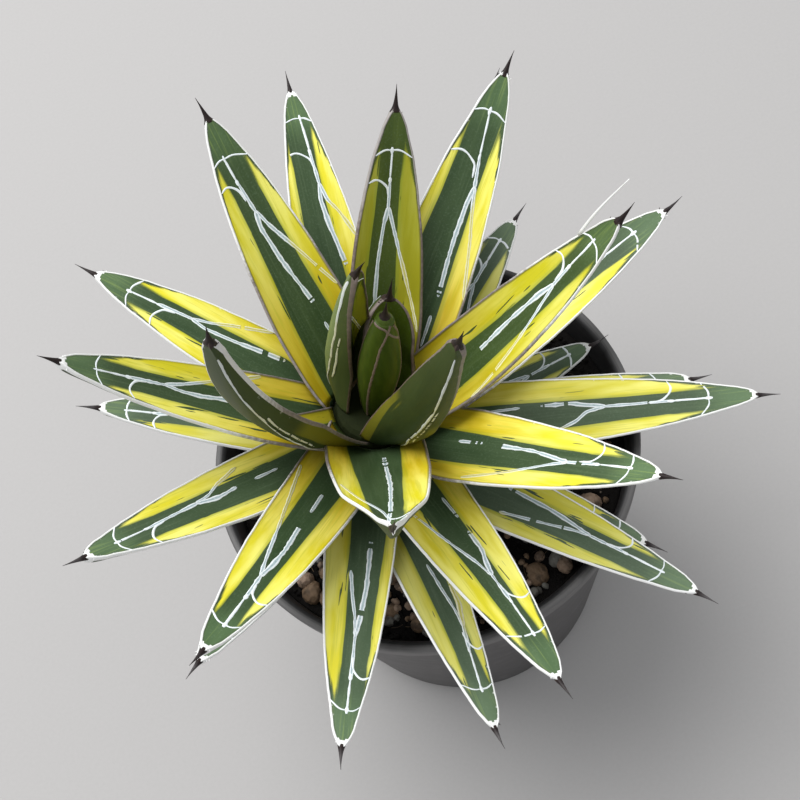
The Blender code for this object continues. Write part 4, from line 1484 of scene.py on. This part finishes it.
# %% Peat bed
SOIL_LEVEL = 82.0
SOIL_ROUGHNESS = 1.5
SOIL_LUMP = 7.0
SOIL_RINGS = 70
SOIL_SIDES = 180
SOIL_GAP = 0.1  # between the soil and the wall
SOIL_ABOVE_FLOOR = 0.3
FINE_LUMP = 2.2
FINE_HEIGHT = 0.35
FINE_SLICE = 3  # where the fine noise is cut through
FINE_LAYERS = (0.9, 2.2, 3)  # how fast they fade, how much finer each is, and how many there are
PEAT_COLOURS = ((0.0022, 0.0020, 0.0018), (0.010, 0.0078, 0.0065))
PEAT_PATCH = (0.018, 0.013, 0.010)


def soil_height(x, y):
    """The peat's height in mm at a place in mm: the solid's lumps, then finer ones."""
    broad = noise.noise(Vector((x, y, SOIL_LEVEL)) / SOIL_LUMP) * SOIL_ROUGHNESS
    fine = noise.fractal(Vector((x, y, FINE_SLICE)) / FINE_LUMP, *FINE_LAYERS) * FINE_HEIGHT
    return SOIL_LEVEL + broad + fine


def paint_peat():
    paint = Paint("soil_peat")
    place = paint.place()
    crumb = paint.noise(place, 700.0, 5.0, 0.7)
    patch = paint.noise(place, 120.0, 3.0)
    patchy = paint.smooth(patch, 0.58, 0.75) * 0.5
    colour = paint.mix(patchy, paint.mix(crumb, *PEAT_COLOURS), PEAT_PATCH)
    return paint.finish(colour, 0.9, paint.bump(crumb, 0.0006, 0.9), Specular_IOR_Level=0.25)


def make_soil():
    """A closed bed: rings of points over its top, a last ring at its bottom and a point in its middle."""
    edge = pot_inside(SOIL_LEVEL) - SOIL_GAP
    turns = [math.tau * side / SOIL_SIDES for side in range(SOIL_SIDES)]
    points = []
    for ring in range(1, SOIL_RINGS + 1):
        radius = edge * ring / SOIL_RINGS
        for turn in turns:
            x, y = radius * math.cos(turn), radius * math.sin(turn)
            points.append((x, y, soil_height(x, y)))
    bottom = POT_FLOOR + SOIL_ABOVE_FLOOR
    reach = pot_inside(bottom) - SOIL_GAP
    points += [(reach * math.cos(turn), reach * math.sin(turn), bottom) for turn in turns]
    faces = [tuple(reversed(face)) for face in strip_faces(SOIL_RINGS + 1, SOIL_SIDES, closed=True)]
    points.append((0, 0, soil_height(0, 0)))
    centre = len(points) - 1
    faces += [(centre, i, (i + 1) % SOIL_SIDES) for i in range(SOIL_SIDES)]
    faces.append(tuple(SOIL_RINGS * SOIL_SIDES + i for i in reversed(range(SOIL_SIDES))))
    flat = FlatMesh()
    flat.add(points, faces, 0)
    mesh = flat.mesh("soil_bed")
    mesh.materials.append(PEAT)
    soil = new_object("soil_bed", mesh)
    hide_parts("soil")
    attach(soil, "root")
    return soil


PEAT = paint_peat()
soil = make_soil()
print("soil faces:", len(soil.data.polygons))

# %% Scattering tree
FIBRE_BOW = (0, 0.18, 0.12)
FIBRE_RADIUS = 0.02


def scatter_tree(name, make_shape, material, rough):
    """A tree that puts copies of a shape on the points it is given, each with its own turn and size.

    The points carry a size in three directions, a turn and a tint. The copies are made real, are
    roughed up by a noise if asked, and are painted.
    """
    tree, entry = geometry_tree(name, ("Noise scale", "Noise height"))
    turn = tree.node("GeometryNodeInputNamedAttribute", {"data_type": "FLOAT_VECTOR"}, "turn")
    size = tree.node("GeometryNodeInputNamedAttribute", {"data_type": "FLOAT_VECTOR"}, "size")
    facing = tree.node("FunctionNodeEulerToRotation", None, turn)
    copies = tree.node("GeometryNodeInstanceOnPoints", None, entry["Geometry"], Instance=make_shape(tree),
                       Rotation=facing, Scale=size)
    real = tree.node("GeometryNodeRealizeInstances", None, copies)
    if rough:
        at = tree.node("GeometryNodeInputPosition")
        cloud = tree.node("ShaderNodeTexNoise", None, at, Scale=entry["Noise scale"], Detail=3.0).of("Color")
        centred = tree.vector_math("SUBTRACT", cloud, (0.5, 0.5, 0.5))
        push = tree.vector_math("SCALE", centred, Scale=entry["Noise height"])
        real = tree.node("GeometryNodeSetPosition", None, real, Offset=push)
    painted = tree.node("GeometryNodeSetMaterial", None, real, Material=material)
    tree.node("NodeGroupOutput", None, painted)
    return tree.tree


def pebble_shape(fineness):
    """A ball of unit radius, which the scattering tree roughs up."""
    return lambda tree: tree.node("GeometryNodeMeshIcoSphere", None, 1.0, fineness)


def fibre_shape(tree):
    """A thin, bowed, three-sided thread of unit length."""
    line = tree.node("GeometryNodeCurveQuadraticBezier", None, 5, (-0.5, 0, 0), FIBRE_BOW, (0.5, 0, 0))
    ring = tree.node("GeometryNodeCurvePrimitiveCircle", {"mode": "RADIUS"}, 3, Radius=FIBRE_RADIUS)
    return tree.node("GeometryNodeCurveToMesh", None, line, ring)


def scatter(name, spots, group, values):
    """One piece from a list of (place, size, turn, tint), in mm and radians."""
    mesh = bpy.data.meshes.new(name)
    mesh.from_pydata([Vector(spot[0]) * MM for spot in spots], [], [])
    for key, column, unit in (("size", 1, MM), ("turn", 2, 1)):
        layer = mesh.attributes.new(key, "FLOAT_VECTOR", "POINT")
        layer.data.foreach_set("vector", [part * unit for spot in spots for part in spot[column]])
    mesh.attributes.new("tint", "FLOAT", "POINT").data.foreach_set("value", [spot[3] for spot in spots])
    thing = new_object(name, mesh)
    run_tree(thing, group, values)
    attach(thing, "root")
    print(name, "has", len(spots), "copies and", len(thing.data.polygons), "faces")


print("copies are scattered by one kind of tree")

# %% Gravel
STONE_COUNT = 26
STONE_MIN = 1.6
STONE_MAX = 3.6
STONE_INNERMOST = 0.5
STONE_TIP = math.radians(35)
STONE_SUNK = 0.2
STONES_PROUD = 1.15  # a little larger than the solid's, so that more of each shows
STONE_BEARING = (250, 65)
STONE_SEED = 7
STONE_SQUASH = ((0.8, 1.1), (0.7, 1), (0.5, 0.75))
GRIT_COUNT = 240
GRIT_SEED = 8
PEBBLE_COUNT = 110
PEBBLE_SEED = 12
PEBBLE_BEARING = (232, 42)  # in degrees, with its spread
LOOSE_TILT = 0.6
LOOSE_SQUASH = (0.7, 1.0)
MOSTLY_SMALL = 2.2  # a power: the higher, the fewer of the loose bits are large
TAN_STONE = ((0.075, 0.047, 0.026), (0.30, 0.195, 0.115))
PINK_STONE = ((0.17, 0.105, 0.070), (0.50, 0.36, 0.26))
GREY_STONE = ((0.085, 0.080, 0.068), (0.28, 0.27, 0.24))
STONE_STAIN = (0.030, 0.020, 0.012)


def near_stem(spot):
    foot = STEM_FOOT / MM
    return math.hypot(spot[0] - foot.x, spot[1] - foot.y) < STEM_RADIUS / MM + 2 * STONE_MAX


def gravel_spots():
    """The stones of the solid, drawn in the same way, so that each lies in its own place."""
    draw = random.Random(STONE_SEED)
    tints = random.Random(STONE_SEED + 1)
    reach = pot_inside(SOIL_LEVEL) - STONE_MAX - 1
    placed = []
    while len(placed) < STONE_COUNT:
        turn = math.radians(draw.gauss(*STONE_BEARING))
        away = reach * math.sqrt(draw.uniform(STONE_INNERMOST**2, 1))
        size = draw.uniform(STONE_MIN, STONE_MAX)
        spot = Vector((away * math.cos(turn), away * math.sin(turn), SOIL_LEVEL - STONE_SUNK * size))
        if near_stem(spot) or any((spot - other[0]).length < size + other[4] for other in placed):
            continue
        spin = draw.uniform(0, math.tau)
        tip = draw.uniform(-STONE_TIP, STONE_TIP)
        squash = [draw.uniform(*span) for span in STONE_SQUASH]
        grown = [size * part * STONES_PROUD for part in squash]
        placed.append((spot, grown, (tip, 0, spin), tints.random(), size))
    return placed


def loose_spots(draw, count, small, large, inner=0.0, bearing=None, lift=0.0):
    """Places on the peat, spread evenly over it or about a bearing."""
    spots = []
    reach = pot_inside(SOIL_LEVEL) - large - 0.3
    for _ in range(count):
        turn = math.radians(draw.gauss(*bearing)) if bearing else draw.uniform(0, math.tau)
        away = reach * math.sqrt(draw.uniform(inner**2, 1))
        x, y = away * math.cos(turn), away * math.sin(turn)
        size = small + (large - small) * draw.random() ** MOSTLY_SMALL
        sizes = [size * draw.uniform(*LOOSE_SQUASH) for _ in range(3)]
        tilts = [draw.uniform(-LOOSE_TILT, LOOSE_TILT) for _ in range(2)]
        turns = (*tilts, draw.uniform(0, math.tau))
        spots.append(((x, y, soil_height(x, y) + lift * size), sizes, turns, draw.random()))
    return spots


def paint_gravel():
    paint = Paint("gravel_stone")
    grain = paint.noise(paint.place(), 900.0, 4.0, 0.65)
    cloud = paint.noise(paint.place(), 420.0, 3.0)
    tint = paint.attribute("tint")
    tan, pink, grey = (paint.mix(grain, *pair) for pair in (TAN_STONE, PINK_STONE, GREY_STONE))
    colour = paint.mix(paint.smooth(tint, 0.42, 0.46), tan, grey)
    colour = paint.mix(paint.smooth(tint, 0.70, 0.74), colour, pink)
    colour = paint.mix(paint.smooth(cloud, 0.50, 0.64) * 0.65, colour, STONE_STAIN)
    return paint.finish(colour, 0.75, paint.bump(grain, 0.00025, 0.7))


GRAVEL = paint_gravel()
stones = gravel_spots()
scatter("gravel", stones, scatter_tree("gravel_stones", pebble_shape(4), GRAVEL, True),
        {"Noise scale": 330.0, "Noise height": 1.5 * MM})
grit = loose_spots(random.Random(GRIT_SEED), GRIT_COUNT, small=0.5, large=2.6, inner=0.35,
                   bearing=STONE_BEARING, lift=0.35)
grit += loose_spots(random.Random(PEBBLE_SEED), PEBBLE_COUNT, small=1.0, large=3.2, inner=0.80,
                    bearing=PEBBLE_BEARING, lift=0.3)
scatter("grit", grit, scatter_tree("grit_stones", pebble_shape(2), GRAVEL, True),
        {"Noise scale": 700.0, "Noise height": 0.6 * MM})

# %% Crumbs and fibres
CRUMB_COUNT = 4200
CRUMB_SEED = 9
FIBRE_COUNT = 420
FIBRE_SEED = 10
FIBRE_SHORTEST = 2.0
FIBRE_GROWS = 5.0  # how much longer the longest, palest ones are
FIBRE_COLOURS = ((0.020, 0.012, 0.007), (0.15, 0.10, 0.055))
FIBRE_DIRT = (0.012, 0.008, 0.005)


def paint_fibre():
    paint = Paint("peat_fibre")
    tint = paint.attribute("tint")
    grain = paint.noise(paint.place(), 1500.0, 2.0)
    colour = paint.mix(tint, *FIBRE_COLOURS)
    return paint.finish(paint.mix(grain * 0.5, colour, FIBRE_DIRT), 0.8)


crumbs = loose_spots(random.Random(CRUMB_SEED), CRUMB_COUNT, small=0.25, large=1.15, lift=0.15)
scatter("peat_crumbs", crumbs, scatter_tree("peat_crumb", pebble_shape(1), PEAT, True),
        {"Noise scale": 900.0, "Noise height": 0.5 * MM})
fibre_spots = loose_spots(random.Random(FIBRE_SEED), FIBRE_COUNT, small=0.3, large=3.5, lift=0.2)
fibres = [(place, [FIBRE_SHORTEST + FIBRE_GROWS * tint] * 3, turn, tint)
          for place, _, turn, tint in fibre_spots]
scatter("peat_fibres", fibres, scatter_tree("peat_fibre", fibre_shape, paint_fibre(), False), {})

# %% [markdown]
# ## The stem
#
# The leaves hide nearly all of the stem, so it keeps its plain solid and only gets a paint: brown
# bark at its foot, and above it the dark green of packed leaf bases, deepened as painted shade.

# %% Stem
STEM_BARK = ((0.09, 0.06, 0.03), (0.22, 0.16, 0.09))
SHADED_STEM_GREEN = ((0.007, 0.011, 0.003), (0.020, 0.026, 0.007))
GREEN_ABOVE = (89, 96)  # the heights in mm between which bark passes into green


def paint_stem():
    paint = Paint("stem_skin")
    grain = paint.noise(paint.place(), 300.0, 4.0, 0.6)
    height = paint.node("ShaderNodeSeparateXYZ", None, paint.place()).of("Z")
    upper = paint.smooth(height, *(above * MM for above in GREEN_ABOVE))
    # Above the bark the stem is painted very dark green: packed leaf bases, with painted shade
    colour = paint.mix(upper, paint.mix(grain, *STEM_BARK), paint.mix(grain, *SHADED_STEM_GREEN))
    return paint.finish(colour, 0.8, paint.bump(grain, 0.0003, 0.6), Specular_IOR_Level=0.15)


stem_look = paint_stem()
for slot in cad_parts["stem"].material_slots:
    slot.material = stem_look
print("the stem keeps its", len(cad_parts["stem"].data.polygons), "faces")
